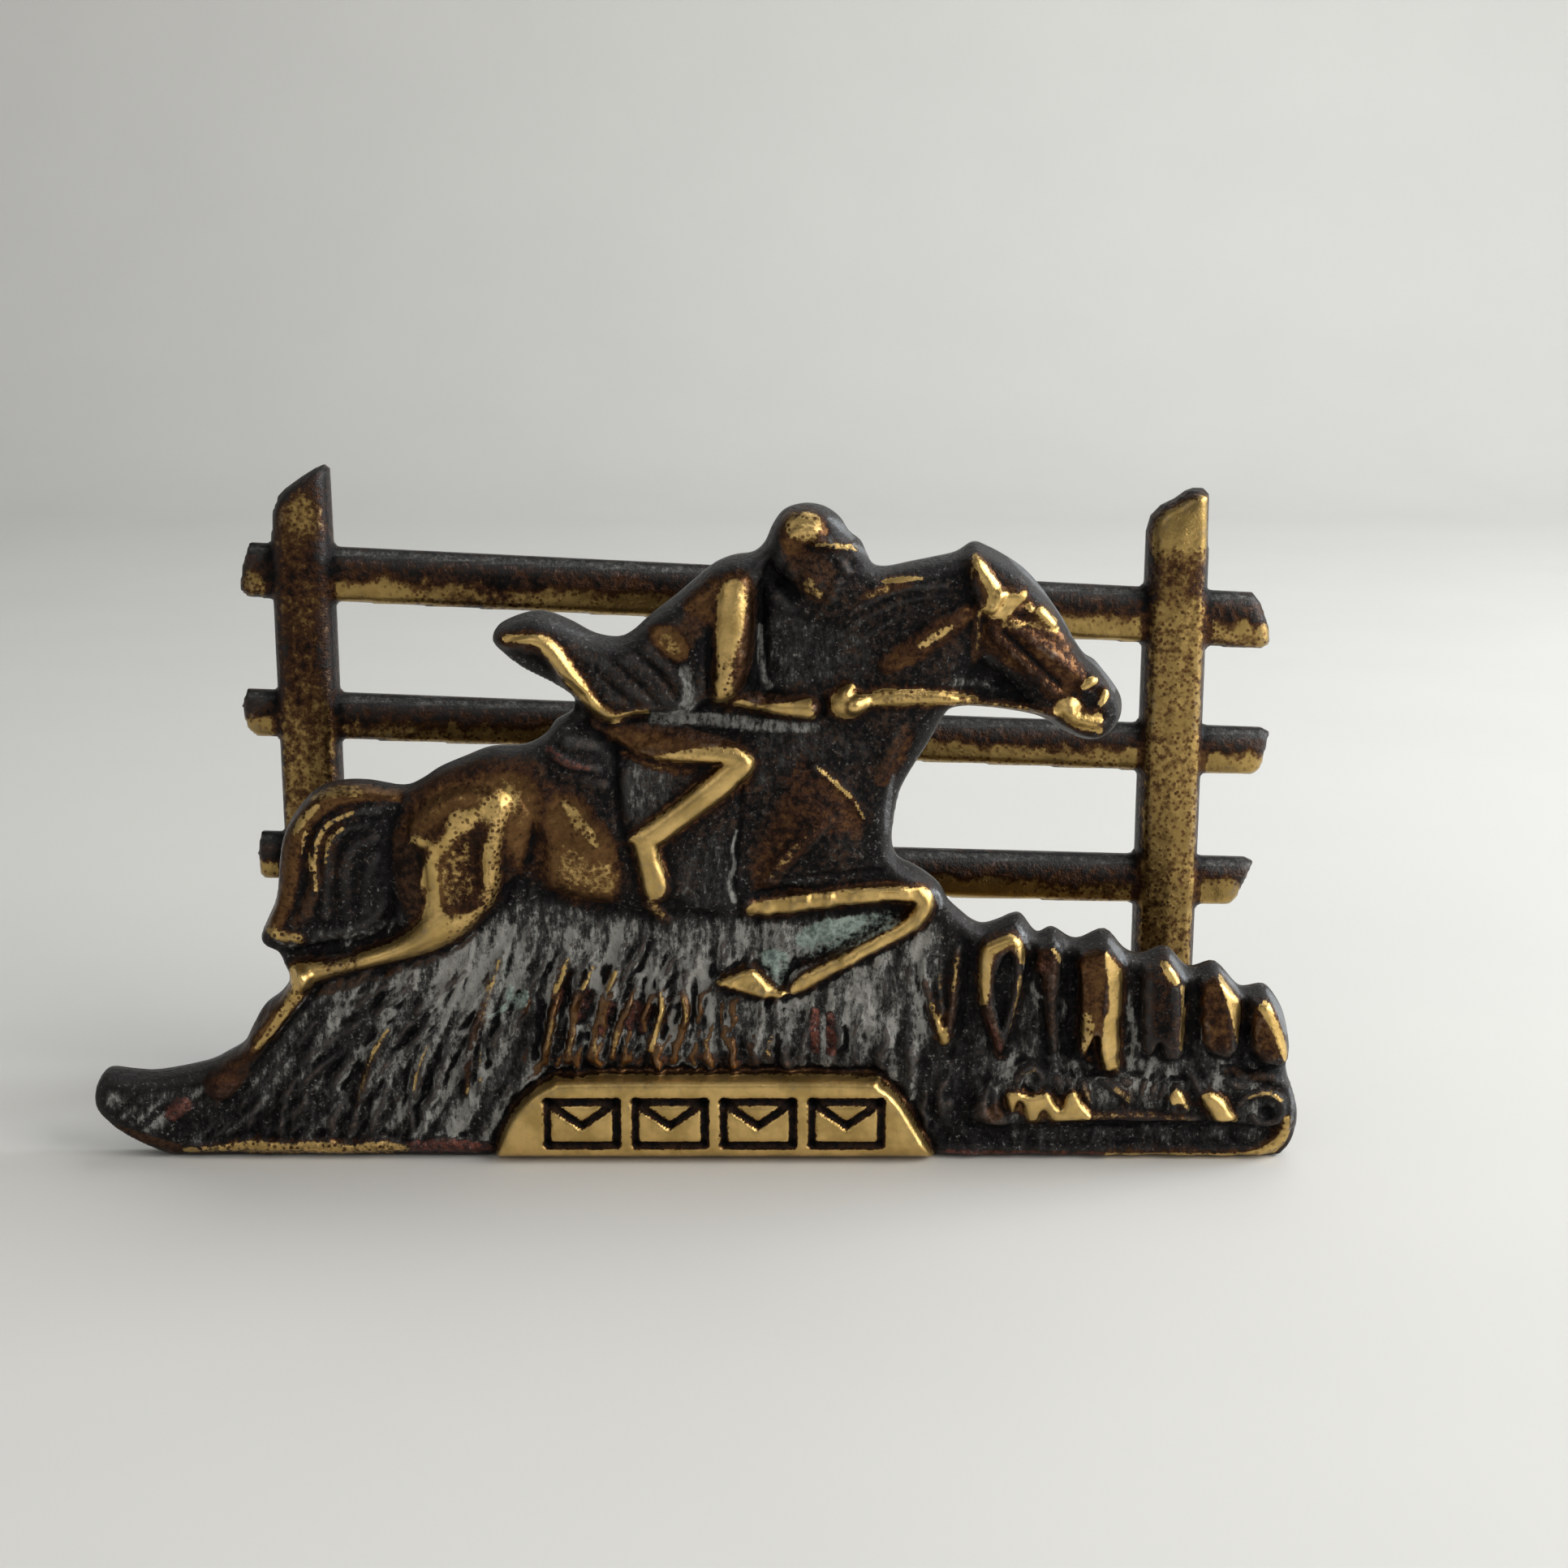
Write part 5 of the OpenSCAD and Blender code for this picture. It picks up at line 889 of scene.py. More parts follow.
    ("tarnish", 0.28, [(-32, 9, 0.5), (-31.4, 15, 0.6), (-30, 20, 0.7), (-27.4, 27, 0.5)], 1.4),
    ("gold", 0.95, [(-19.5, 24, 0.35), (-18.8, 25.8, 0.42), (-17.5, 28.4, 0.25)]),
    ("gold", 0.9, [(-15.9, 24.4, 0.4), (-14.5, 27.2, 0.3)]),
    ("gold", 0.95, [(-12.7, 24, 0.45), (-11.3, 26.6, 0.3)]),
    ("gold", 0.45, [(-20.6, 15, 0.5), (-20, 20, 0.5)], 1.2),
    ("gold", 0.45, [(-17.8, 14.6, 0.5), (-16.8, 19, 0.5)], 1.2),
    ("gold", 0.5, [(-14.4, 15, 0.5), (-13.6, 18, 0.5)], 1.2),
    ("gold", 0.5, [(-11.7, 15, 0.5), (-11.2, 18, 0.5)], 1.2),
    ("gold", 0.45, [(-9, 15, 0.4), (-8.6, 18, 0.4)], 1.2),
    ("gold", 0.9, [(-6.8, 15.2, 0.3), (-5.7, 18.4, 0.35), (-5.1, 21, 0.35), (-5.2, 23.8, 0.2)]),
    ("gold", 0.65, [(-2.2, 22.6, 0.2), (-1.7, 19.6, 0.28)]),
    ("gold", 0.6, [(-3.2, 25.6, 0.3), (-2.6, 27, 0.25)]), ("gold", 0.5, [(0.8, 16, 0.4), (1.2, 18, 0.4)]),
    ("gold", 0.5, [(9.3, 14.6, 0.4), (9.7, 18, 0.4)]),
    ("copper", 0.85, [(-19.4, 21.6, 0.9), (-18.6, 24, 0.9)], 1.5),
    ("copper", 0.85, [(-16.2, 20, 1.0), (-14.8, 23.6, 0.9)], 1.5),
    ("copper", 0.85, [(-13.4, 18.4, 0.9), (-12, 21.6, 1.0)], 1.5),
    ("copper", 0.85, [(-9.6, 19, 0.8), (-8.2, 22, 0.8)], 1.5),
    ("copper", 0.85, [(-8, 18.4, 0.7), (-6.6, 21.4, 0.7)], 1.5),
    ("copper", 0.85, [(15.7, 21, 0.6), (15.7, 15.6, 0.7)], 1.5),
    ("copper", 0.85, [(17.8, 20.4, 0.6), (18, 15.4, 0.8)], 1.5),
    ("brown", 0.6, [(-21, 14.4, 1.2), (-12, 14, 1.2), (0, 14, 1.2), (14, 14, 1.2)], 1.2),
    ("copper", 0.4, [(-21, 14.4, 0.8), (-16, 13.8, 0.8), (-8, 14.2, 0.8), (8, 13.8, 0.7)], 1.2),
    # Painted highlights: silvery glints on the edges towards the window, where the ridge layer runs above 1
    ("ridge", 1.5, [(41, 83, 0.4), (44, 80.2, 0.6), (47, 77, 0.6), (49.4, 73, 0.6), (51.4, 70.2, 0.6),
        (53.4, 68.2, 0.6), (55, 65.6, 0.5)], 1.2),
    ("ridge", 1.4, [(17.4, 88, 0.5), (19, 87, 0.8), (20.4, 85.6, 0.5)], 1.2),
    ("ridge", 1.3, [(20.6, 84.6, 0.5), (22.4, 83.4, 0.6), (23.6, 82.2, 0.4)], 1.2),
    ("ridge", 1.5, [(31.4, 38, 0.5), (32.2, 37.2, 0.6), (32.6, 35.6, 0.3)], 1.2),
    ("ridge", 1.2, [(26, 54, 0.4), (25.4, 50, 0.7), (25.2, 46, 0.5)], 1.4),
    ("ridge", 1.4, [(42.8, 33.4, 0.3), (43.8, 31.8, 0.6), (44.6, 30, 0.4)], 1.2),
    ("ridge", 1.3, [(47.8, 31.4, 0.3), (49, 29.6, 0.4)], 1.2),
    ("ridge", 1.5, [(55.2, 31.2, 0.3), (56.6, 29.6, 0.7), (57.8, 27.6, 0.4)], 1.2),
    ("ridge", 1.4, [(63.6, 29, 0.3), (65, 27, 0.6), (66, 25.4, 0.4)], 1.2),
    ("ridge", 1.4, [(70.4, 27.2, 0.3), (72, 25.4, 0.5), (73.4, 23.4, 0.3)], 1.2),
    ("ridge", 1.5, [(77, 24, 0.3), (78.6, 21.6, 0.6), (79.8, 18, 0.4)], 1.2),
    ("ridge", 1.1, [(-19, 74.4, 0.5), (-15.6, 73, 0.6), (-11, 72.4, 0.4)], 1.4),
    ("ridge", 1.2, [(80.8, 10, 0.3), (81.4, 7, 0.4), (81, 4, 0.3)], 1.2),
    # Dust and green in the hollows
    ("dust", 0.6, [(-28, 33, 1.6), (-22, 35.4, 1.8), (-12, 33, 1.8), (-3, 32.4, 1.8), (4, 33, 1.6),
        (6, 31, 1.4)], 1.2),
    ("dust", 0.9, [(-26.4, 29, 0.4), (-26.2, 25.4, 0.6), (-25, 23, 1.4)], 1.0),
    ("dust", 0.8, [(-26.4, 22, 0.5), (-28.4, 20, 0.4)], 1.0),
    ("green", 0.95, [(-25.6, 23.4, 0.9), (-24.6, 22.4, 1.2), (-23.8, 23.4, 0.8)], 0.9),
    ("green", 0.8, [(-26.2, 28, 0.35), (-26, 25.4, 0.45), (-25.4, 23.6, 0.6)]),
    ("green", 0.7, [(-25.6, 22.2, 0.5), (-27.4, 20.8, 0.4), (-28.6, 20.2, 0.25)]),
    ("dust", 0.8, [(-5.4, 61.6, 1.2), (0, 61.6, 1.1), (5, 61.2, 1.2), (10, 60.6, 1.1), (15.6, 60.4, 0.9)],
        1.0),
    ("dust", 0.85, [(-1.6, 68, 1.0), (-1, 64, 1.2), (-3, 61.6, 1.0)], 1.0),
    ("dust", 0.8, [(8.4, 74, 0.5), (8.6, 68, 0.7), (9.4, 66, 0.8)], 1.0),
    ("dust", 0.85, [(5.2, 46.4, 0.25), (4.6, 44, 0.35), (4.9, 41.6, 0.4), (4.2, 39.4, 0.5),
        (4.8, 36.6, 0.6)], 1.2),
    ("dust", 0.6, [(34, 66.4, 0.8), (37, 66.4, 0.6), (39, 65.6, 0.5)], 1.0),
    ("dust", 0.4, [(-16, 53.8, 0.5), (-12.6, 52.8, 0.5)], 1.0),
]

# Patches: layer, strength or a negative one that thins, outline, and softness
PATCHES = [
    ("brown", 0.8, [(-38.6, 53.6), (-30, 56.6), (-21, 56), (-19.6, 50), (-19.8, 44), (-24, 42), (-30, 46),
        (-36, 47.4), (-39, 49)], 3.0),
    ("brown", 0.95, [(-20.6, 49), (-17, 51.4), (-12.6, 47.6), (-11, 42), (-11.4, 36.4), (-15.6, 36.2),
        (-20.4, 38), (-21.2, 43)], 1.6),
    ("gold", 0.45, [(-18.4, 44.4), (-16.4, 44.8), (-14.2, 42.6), (-12.4, 42.8), (-11, 43), (-10.8, 38),
        (-12, 37), (-16, 37.2), (-18.6, 38.8), (-19, 42)], 3.0),
    ("gold", 0.5, [(-16.8, 50), (-14.6, 47.4), (-14, 45), (-15.6, 45.4), (-17.4, 48)], 1.6),
    ("gold", 0.95, [(-37.4, 39), (-36.9, 36), (-38.4, 33.2), (-42, 31), (-46.5, 29.3), (-50, 28),
        (-54.6, 27.8), (-55.6, 25.6), (-54, 23.8), (-50, 25.3), (-45, 26.6), (-40, 27.6), (-36, 29.1),
        (-34, 30.8), (-34, 34), (-34.8, 36.6), (-34.9, 40), (-35.2, 41.8), (-36.6, 41.6)], 1.1),
    ("gold", 0.74, [(-35, 35), (-36, 29.2), (-32, 31.3), (-29.6, 34), (-28.2, 36.8), (-30.4, 35.2),
        (-33, 34.6)], 1.2),
    ("gold", -0.45, [(-50.6, 28.6), (-46.4, 29.2), (-46, 26.6), (-49.8, 25.8)], 1.4),
    ("gold", 0.68, [(-36.8, 41.6), (-36.2, 43.6), (-38.6, 44.6), (-37.8, 45.8), (-35.2, 44.8), (-33.8, 46),
        (-33.4, 48.6), (-30.4, 49.6), (-28.6, 48.8), (-29.4, 47), (-31.6, 45.4), (-33.6, 43.4), (-34.6, 42),
        (-34.9, 40)], 1.6),
    ("gold", 0.68, [(-29.6, 48.6), (-28, 51.4), (-25, 52.6), (-23.4, 51.6), (-24, 48.6), (-26, 46.4),
        (-28, 46.6)], 3.0),
    ("gold", 0.32, [(-37, 46), (-35, 51), (-29, 54), (-22.4, 54.4), (-21, 51), (-22, 48), (-24.4, 42),
        (-26, 47), (-31, 48)], 5.0),
    ("brown", 0.9, [(-35, 42), (-30, 46), (-29, 41), (-29.6, 36.4), (-33, 35.4), (-35, 38)], 1.0),
    ("gold", 0.42, [(-34.2, 42), (-30.6, 45.4), (-30, 38), (-33, 35.6), (-34.6, 38)], 1.4),
    ("brown", 1.0, [(-38, 48), (-30, 50), (-23.6, 52), (-24.6, 42), (-27, 35.4), (-32, 30), (-40, 26.6),
        (-54, 22.6), (-57, 26), (-52, 28.8), (-42, 31.6), (-38.4, 35), (-39, 42)], 1.6),
    ("gold", 0.9, [(2.7, 77.6), (3.5, 79.4), (5, 80.2), (6.4, 79.2), (6.7, 77), (6.2, 74), (5.6, 71),
        (5.1, 68.4), (5, 66), (5.2, 64.6), (3.4, 63.2), (2.2, 64), (2.3, 67), (2.5, 71), (2.6, 75)], 1.6),
    ("gold", -0.28, [(1.6, 69), (6, 69), (5.8, 64.4), (1.6, 64)], 2.5),
    ("gold", 0.92, [(6, 64.2), (8, 63.4), (11, 63.7), (13.5, 64), (15.1, 64.2), (15.3, 62.6), (15.6, 61.5),
        (12, 61.9), (9, 62.4), (6, 63.1), (4.6, 63.4)], 0.7),
    ("gold", 0.82, [(17.6, 63.4), (18, 65), (19.4, 66), (20.6, 65.6), (20.6, 65), (22, 64.8), (24, 65.2),
        (22.6, 63.2), (22, 62), (20.4, 61.5), (18.4, 61.9)], 0.8),
    ("gold", 0.85, [(49.4, 62.2), (50.6, 62.5), (52, 62), (53.2, 62.6), (53.7, 61.4), (52.6, 60.4), (51, 60),
        (49.6, 60.8)], 0.7),
    ("gold", 0.82, [(-6.4, 56.2), (-2, 57.4), (2, 57.7), (4.5, 57.8), (6.8, 56.8), (7.6, 54.8), (6.2, 53.2),
        (3.6, 55.4), (2, 55.4), (0, 54.8), (-3, 54.6), (-6, 55)], 1.0),
    ("gold", 1.0, [(-9.3, 44.9), (-8.6, 45.6), (-7.4, 45.6), (-6.4, 45.9), (-4.7, 43.9), (-4.9, 43.2),
        (-4.6, 41), (-4.4, 38.5), (-4.9, 37.2), (-6, 36.8), (-7.1, 37.4), (-7.7, 39.5), (-8.2, 42),
        (-8.9, 43.6)], 0.5),
    ("green", 1.0, [(14.2, 31.4), (15, 33.2), (18, 34.4), (21, 33.6), (21.4, 32.2), (19.6, 30.4),
        (16.6, 29.8), (14.6, 30.4)], 1.6),
    ("green", 0.8, [(13, 30.4), (13.6, 33), (18, 34.4), (24, 35), (27.6, 35.2), (27, 33.4), (22.6, 31),
        (17.4, 29), (14.6, 28.4)], 1.6),
    ("green", 1.0, [(8, 29.4), (9.6, 30), (12.2, 29), (12.4, 27), (11.4, 24.8), (10.6, 24.2), (9.4, 25.8),
        (8.2, 27.6)], 1.2),
    ("dust", 0.8, [(7.4, 33.8), (14, 33.6), (22, 34), (27, 34.6), (20, 30), (12, 29), (8, 29)], 1.6),
    ("brown", 0.6, [(14, 55), (20.4, 50.6), (22, 48), (17.4, 46), (10.4, 38.6), (7, 38), (6.6, 44), (9, 49),
        (12.6, 53)], 2.4),
    ("brown", 0.9, [(36.6, 76), (40, 76), (44, 75), (48, 73), (51, 68), (52, 66), (48, 64.4), (45, 66.4),
        (41, 68.6), (37.4, 71)], 1.4),
    ("copper", 0.3, [(38, 75), (44, 74), (49, 70), (50, 67), (46, 67), (40, 70.4)], 1.4),
    ("gold", 1.0, [(36.2, 83.6), (37.6, 82.2), (39.3, 79.8), (40, 78.5), (39.6, 76.6), (38.2, 75.4),
        (36.9, 76.8), (36, 79.5), (35.9, 81.8)], 0.6),
    ("gold", -0.85, [(36.3, 81.6), (37.3, 79.9), (38.2, 78.2), (37.8, 76.4), (36.8, 77), (36, 79.4)], 0.5),
    ("gold", 0.95, [(38, 75.3), (40, 78.3), (41.5, 78.2), (43, 78.6), (43.2, 77.6), (42, 76.6), (41, 75.3),
        (39.3, 74.4)], 0.6),
    ("gold", 0.95, [(2, 24.8), (4.6, 26.2), (7, 27), (8.4, 26.2), (10.4, 24.2), (11.8, 23.7), (12.2, 23.2),
        (9.5, 22.5), (6, 23.2)], 0.5),
    ("brown", 1.0, [(45.3, 29), (47.5, 30), (48.8, 27.5), (48, 24), (46, 24)], 1.0),
    ("copper", 0.5, [(45.6, 28.8), (47.4, 29.4), (48, 27), (46, 26)], 1.0),
    ("brown", 1.0, [(51.1, 28.2), (54.4, 29.8), (55.4, 28), (55, 22), (54.6, 14), (52, 15), (51.4, 21)],
        0.8),
    ("copper", 0.45, [(51.4, 27.8), (54.2, 29.2), (54.8, 26), (54.2, 21.4), (52, 21.6)], 0.8),
    ("gold", 1.0, [(54.8, 29.6), (56.2, 28), (57.6, 26), (57.3, 21), (57.5, 15), (57.4, 12.5), (55.1, 12.2),
        (54.7, 14), (54.9, 18), (55.1, 20), (55.7, 21.5), (55.5, 24.5)], 0.5),
    ("gold", 0.6, [(51.7, 20.4), (53.4, 20.6), (53.8, 18), (53, 15.6), (52, 15)], 0.8),
    ("gold", 1.0, [(70.2, 26.3), (71.4, 25.2), (73.6, 21.6), (73.7, 18), (73.4, 16.2), (72.5, 19.5),
        (71.7, 22)], 0.5),
    ("gold", 1.0, [(75.9, 21.4), (76.5, 22.4), (77.5, 22), (80, 16.2), (80.1, 14), (79.5, 14.5), (78.1, 18),
        (76.4, 20.8)], 0.5),
    ("gold", 0.95, [(42, 8.9), (43, 9.4), (45.2, 8.8), (47.7, 9.2), (48.7, 7.8), (49.6, 7), (50.2, 8.8),
        (51.5, 9.3), (52.5, 7.6), (53.7, 6.2), (53.4, 5.3), (50.5, 5), (48.4, 5.1), (47.2, 6.5), (46.4, 5.1),
        (45, 5.2), (44.5, 6.8), (43.8, 7.8), (43.1, 6.4), (42.5, 7)], 0.5),
    ("gold", 0.85, [(64.4, 8.6), (65.3, 10), (66.5, 8.6), (67.2, 6.6), (66.6, 7), (65.8, 7.7), (64.8, 7.4)],
        0.5),
    ("gold", 1.0, [(68.9, 9.1), (70.3, 9.3), (72.1, 8), (73, 6.5), (73.9, 5.3), (73, 4.9), (71, 4.9),
        (70, 6.3), (69.1, 7.6)], 0.5),
    ("dust", 0.62, [(-27, 33.5), (-22, 36.6), (-10, 34.4), (-3, 33.6), (6, 34.4), (8, 30), (2, 28.4),
        (-6, 30), (-14, 29.6), (-22, 29), (-28, 30)], 3.0),
    ("dust", 0.4, [(-60, 20), (-48, 25), (-32, 29), (-24, 36), (-4, 32), (4, 30), (2, 22), (-20, 12),
        (-34, 4), (-60, 4)], 3.0),
    ("dust", 0.36, [(2, 22), (14, 22), (28, 31), (37, 30), (38, 14), (34, 2), (30, 8), (24, 12.4),
        (-18, 12.6)], 3.0),
    ("dust", 0.5, [(9.6, 75), (16, 74.6), (22, 73), (24, 67.6), (18, 66.4), (9.6, 66)], 2.0),
    ("dust", 0.62, [(-9.4, 56), (-3, 54), (-4.4, 49.6), (-8.8, 46.4)], 1.2),
    ("dust", 0.5, [(-3, 43), (1, 46), (4, 47), (4.6, 40), (4, 36), (-2, 36)], 2.0),
    ("dust", 0.4, [(-18, 60), (-12.6, 60), (-11, 56), (-13, 53), (-17, 54.6)], 1.6),
    ("dust", 0.45, [(8, 60), (20, 60), (24, 56), (14, 55.6), (8, 50)], 2.0),
    ("dust", 0.4, [(-14, 71), (-8, 71), (-3, 65), (-6, 63.2), (-12.6, 64)], 1.4),
    # Amber patina
    ("tarnish", 0.58, [(-39.5, 46), (-37, 50.6), (-31, 53.6), (-24, 54.6), (-20.6, 51.6), (-21.6, 46),
        (-24, 40.6), (-27, 46), (-31, 48), (-36, 46)], 4.5),
    ("tarnish", 0.24, [(-24, 53), (-19, 53.6), (-17, 51), (-18.6, 46), (-19.6, 40), (-22.4, 40), (-24, 45)],
        3.0),
    ("tarnish", 0.56, [(-20, 50.6), (-16, 51), (-13, 47), (-10.9, 44), (-10.9, 37), (-15, 36.2),
        (-19.8, 38.4), (-20.6, 44)], 3.6),
    ("tarnish", 0.42, [(-12, 60.6), (-6, 59.8), (0, 59), (5, 58.4), (7.6, 56), (7, 53.6), (3, 54.6),
        (-3, 54), (-8, 55.4), (-11.6, 58)], 1.8),
    ("tarnish", 0.36, [(0, 79.4), (3, 81), (7, 80.6), (8.3, 76), (7.9, 71), (7, 67.6), (6.6, 65.4), (2, 65),
        (1.8, 70), (1.4, 74), (-2, 76)], 1.6),
    ("tarnish", 0.5, [(-6.4, 73.6), (-3, 74), (-0.8, 71), (-2, 69), (-4.6, 70.4)], 1.2),
    ("tarnish", 0.44, [(11.2, 83.6), (11.2, 88.4), (14, 89.4), (17, 88.4), (17.6, 86), (16, 84.6),
        (14, 83.4)], 2.0),
    ("tarnish", 0.3, [(24.6, 67.4), (24.8, 69.8), (28, 72.4), (32, 74.8), (35.6, 76.6), (36.6, 75),
        (33, 71.8), (29, 69)], 1.2),
    ("tarnish", 0.28, [(37.4, 74.8), (42, 76.4), (47, 74.6), (50, 70.6), (52.4, 67), (50, 64.6), (46.6, 64),
        (44, 66.4), (39, 69.8), (36.8, 71.6)], 1.8),
    ("tarnish", 0.27, [(13, 55.6), (16, 55.8), (21, 51.6), (22.4, 47.6), (18.6, 45), (14, 46.6), (9, 38),
        (7, 37), (8, 44), (11, 51)], 2.2),
    ("tarnish", 0.42, [(51.1, 28.2), (54.4, 29.8), (55.4, 28), (55, 22), (54.6, 14), (52, 15), (51.4, 21)],
        0.8),
    ("tarnish", 0.34, [(67.9, 24), (70, 26), (71.8, 22), (72.6, 16), (69.4, 15.4), (68.2, 18)], 0.8),
    ("tarnish", 0.34, [(75, 20), (76.2, 21), (78, 18), (79.4, 14.4), (76.8, 14), (75.2, 16)], 0.8),
    ("tarnish", 0.16, [(60.2, 26.6), (62.6, 27.6), (65, 24.6), (65.2, 15), (62.6, 16.6), (60.4, 15.6)], 0.8),
    ("tarnish", 0.3, [(24, 52), (26.4, 57), (28, 60.4), (29, 59), (26.6, 54)], 1.4),
]


def raise_layer(layer, values):
    layers[layer] = np.maximum(layers[layer], values)


def wear_panel(plate):
    """Ridges are worn bright, hollows keep their patina and are darkened further as painted shade, and dust
    lies in the grass and the hedge.
    """
    bump = height - panel.blur(height, 0.9)
    wide = height - panel.blur(height, 2.2)
    figure = smooth(1.7, 2.4, panel.blur(height, 1.2))
    figure *= smooth(36, 32, panel.x - 0.5 * (panel.z - 40).clip(0))
    grass = (1 - figure) * smooth(36, 30, panel.x) * smooth(38, 32, panel.z)
    hedge = smooth(35, 39, panel.x) * smooth(37, 34, panel.z)
    drift = panel.noise(1.3, 5.0, streaks)

    open_grass = grass * (plate < 0) * smooth(2.4, 3.4, panel.z)
    layers["gold"] *= smooth(-0.34, -0.08, bump) * (1 - 0.75 * open_grass * smooth(0.25, 0.02, bump))
    layers["brown"] *= smooth(-0.5, -0.05, bump)
    raise_layer("brown", 0.5 * smooth(0.08, 0.3, bump) * smooth(2, 4, edge))
    raise_layer("brown", 0.36 * figure)
    layers["copper"] *= 0.65 + 0.35 * smooth(-0.25, 0.05, bump)

    in_grass = 0.52 + 0.3 * drift + 0.14 * smooth(6, 28, panel.z)
    in_grass += 0.16 * smooth(-48, -30, panel.x) * smooth(34, 14, panel.x)
    in_hedge = (0.44 + 0.2 * smooth(4, 12, panel.z) + 0.22 * drift) * smooth(0.3, 0.1, layers["brown"])
    raise_layer("dust", grass * in_grass)
    raise_layer("dust", hedge * in_hedge)
    # The deepest crevices in the grass are kept free of dust, so they stay dark as painted shade
    layers["dust"] *= 1 - (grass + hedge) * 0.8 * smooth(-0.2, -0.5, bump)
    layers["dust"] *= (1 - 0.9 * smooth(0.2, 0.7, layers["copper"])) * (1 - 0.8 * smooth(2.6, 1.2, edge))
    layers["green"] *= 0.5 + 0.5 * smooth(-0.2, 0.0, bump)

    # Hollows: black patina, deepened as painted shade
    hollow_patina_and_shade = smooth(-0.05 - 0.12 * grass, -0.3 - 0.2 * grass, bump) + 0.5 * smooth(-0.3, -1.1, wide)
    layers["deep"] = np.clip(layers["deep"] + hollow_patina_and_shade, 0, 1)
    layers["deep"] *= (1 - 0.5 * hedge - 0.3 * grass) * (1 - 0.7 * smooth(0.4, 0.9, layers["dust"]))
    raise_layer("ridge", smooth(0.04, 0.26, bump) * smooth(1, 3, edge))
    raise_layer("ridge", 0.8 * smooth(2.2, 0.8, edge))

    middle = grass * smooth(-27, -21, panel.x) * smooth(12, 2, panel.x) * smooth(27, 22, panel.z)
    raise_layer("tarnish", 0.52 * middle * smooth(0.0, 0.16, bump))
    layers["tarnish"] *= smooth(-0.5, -0.1, bump)
    raise_layer("tarnish", 0.9 * panel.blur(layers["gold"], 0.7))


def paint_panel():
    for row in STROKES:
        stroke(*row)
    for row in PATCHES:
        patch(*row)
    plate = depth_inside(panel.x, panel.z, place(curve(PLAQUE, 4), PLAQUE_LIFT))
    raise_layer("gold", smooth(-0.3, 0.1, plate))
    for key in ("dust", "green"):
        layers[key] *= smooth(0.2, -0.2, plate)
    for win, share in envelope_shares():
        layers["gold"][win] *= smooth(0.8, 1.15, share)
        layers["brown"][win] = np.maximum(layers["brown"][win], 0.9 * smooth(3.2, 1.2, share))
    wear_panel(plate)
    for win, share in envelope_shares():
        layers["tarnish"][win] *= smooth(0.6, 1.1, share)
        layers["deep"][win] = np.maximum(layers["deep"][win], 0.8 * smooth(1.1, 0.7, share))


paint_panel()
cast = 0.07 * panel.noise(0.8) + 0.06 * panel.noise(1.5) + 0.04 * panel.noise(0.5)
height += cast * (1 - 0.9 * smooth(0.3, 0.6, layers["gold"])) * smooth(0.3, 2, edge)
height = np.minimum(height, MOST_LIFT)
panel_piece = cast_sheet("relief_panel", panel, edge, height, WEB_FRONT, WEB_BACK, layers, RIM)


# Fence: outlines of the posts and of the rails
FENCE_POSTS = [
    [(-63, 2.5), (-62.9, 40), (-62.8, 80), (-62.3, 85), (-61.4, 87.2), (-60.4, 88.3), (-58, 90), (-56, 91.2),
     (-54.8, 91.7), (-54, 91.1), (-53.9, 80), (-53.9, 40), (-54, 2.5)],
    [(64, 2.5), (63.9, 40), (64, 82), (64.6, 84.3), (66, 85.8), (68, 86.8), (69.5, 87.9), (70.6, 88.3),
     (72, 88.3), (72.8, 87.5), (73, 80), (73.1, 40), (73, 2.5)],
]
FENCE_RAILS = [
    [(-66, 80.4), (-67.2, 77), (-67.6, 73.6), (-66.4, 72.5), (5, 68.9), (81.4, 64.9), (82.6, 65.8),
        (82.2, 68.4), (81, 71.6), (79.8, 73.1), (5, 76.9)],
    [(-67.4, 58.8), (-68.2, 56.4), (-67.6, 53), (-66.2, 51.9), (5, 49.1), (80.6, 46), (82, 47), (83.1, 52.4),
        (82, 53), (5, 55.9)],
    [(-66.4, 37.2), (-67, 34), (-66.8, 31), (-66, 30.1), (5, 28.1), (78, 26), (79.2, 27), (81.6, 32.6),
        (80.4, 33.2), (5, 35.3)],
]

# How far a rail's face and its upper edge lie behind the posts' faces, width of its bevel, height of the rim
RAIL_GAP, RAIL_EDGE, BEVEL_WIDTH, FENCE_RIM = 1.1, 3.5, 1.3, -3.7
# Reach of the fence's grid: left, right, bottom, top
FENCE_REACH = (-69, 84, 0.4, 93)
# Feet: middles along x, half width, reach in y and z, and bevel
FOOT_MIDDLES, FOOT_HALF = (-58.5, 68.5), 4.6
FOOT_Y, FOOT_Z, FOOT_BEVEL = (12.05, 20.95), (2.5, 8.45), 0.7


def below_top(points, grid):
    """How far a place lies below a rail's upper edge."""
    (x0, z0), (x1, z1) = points[0], points[-2]
    return z0 + (z1 - z0) * (grid.x - x0) / (x1 - x0) - grid.z


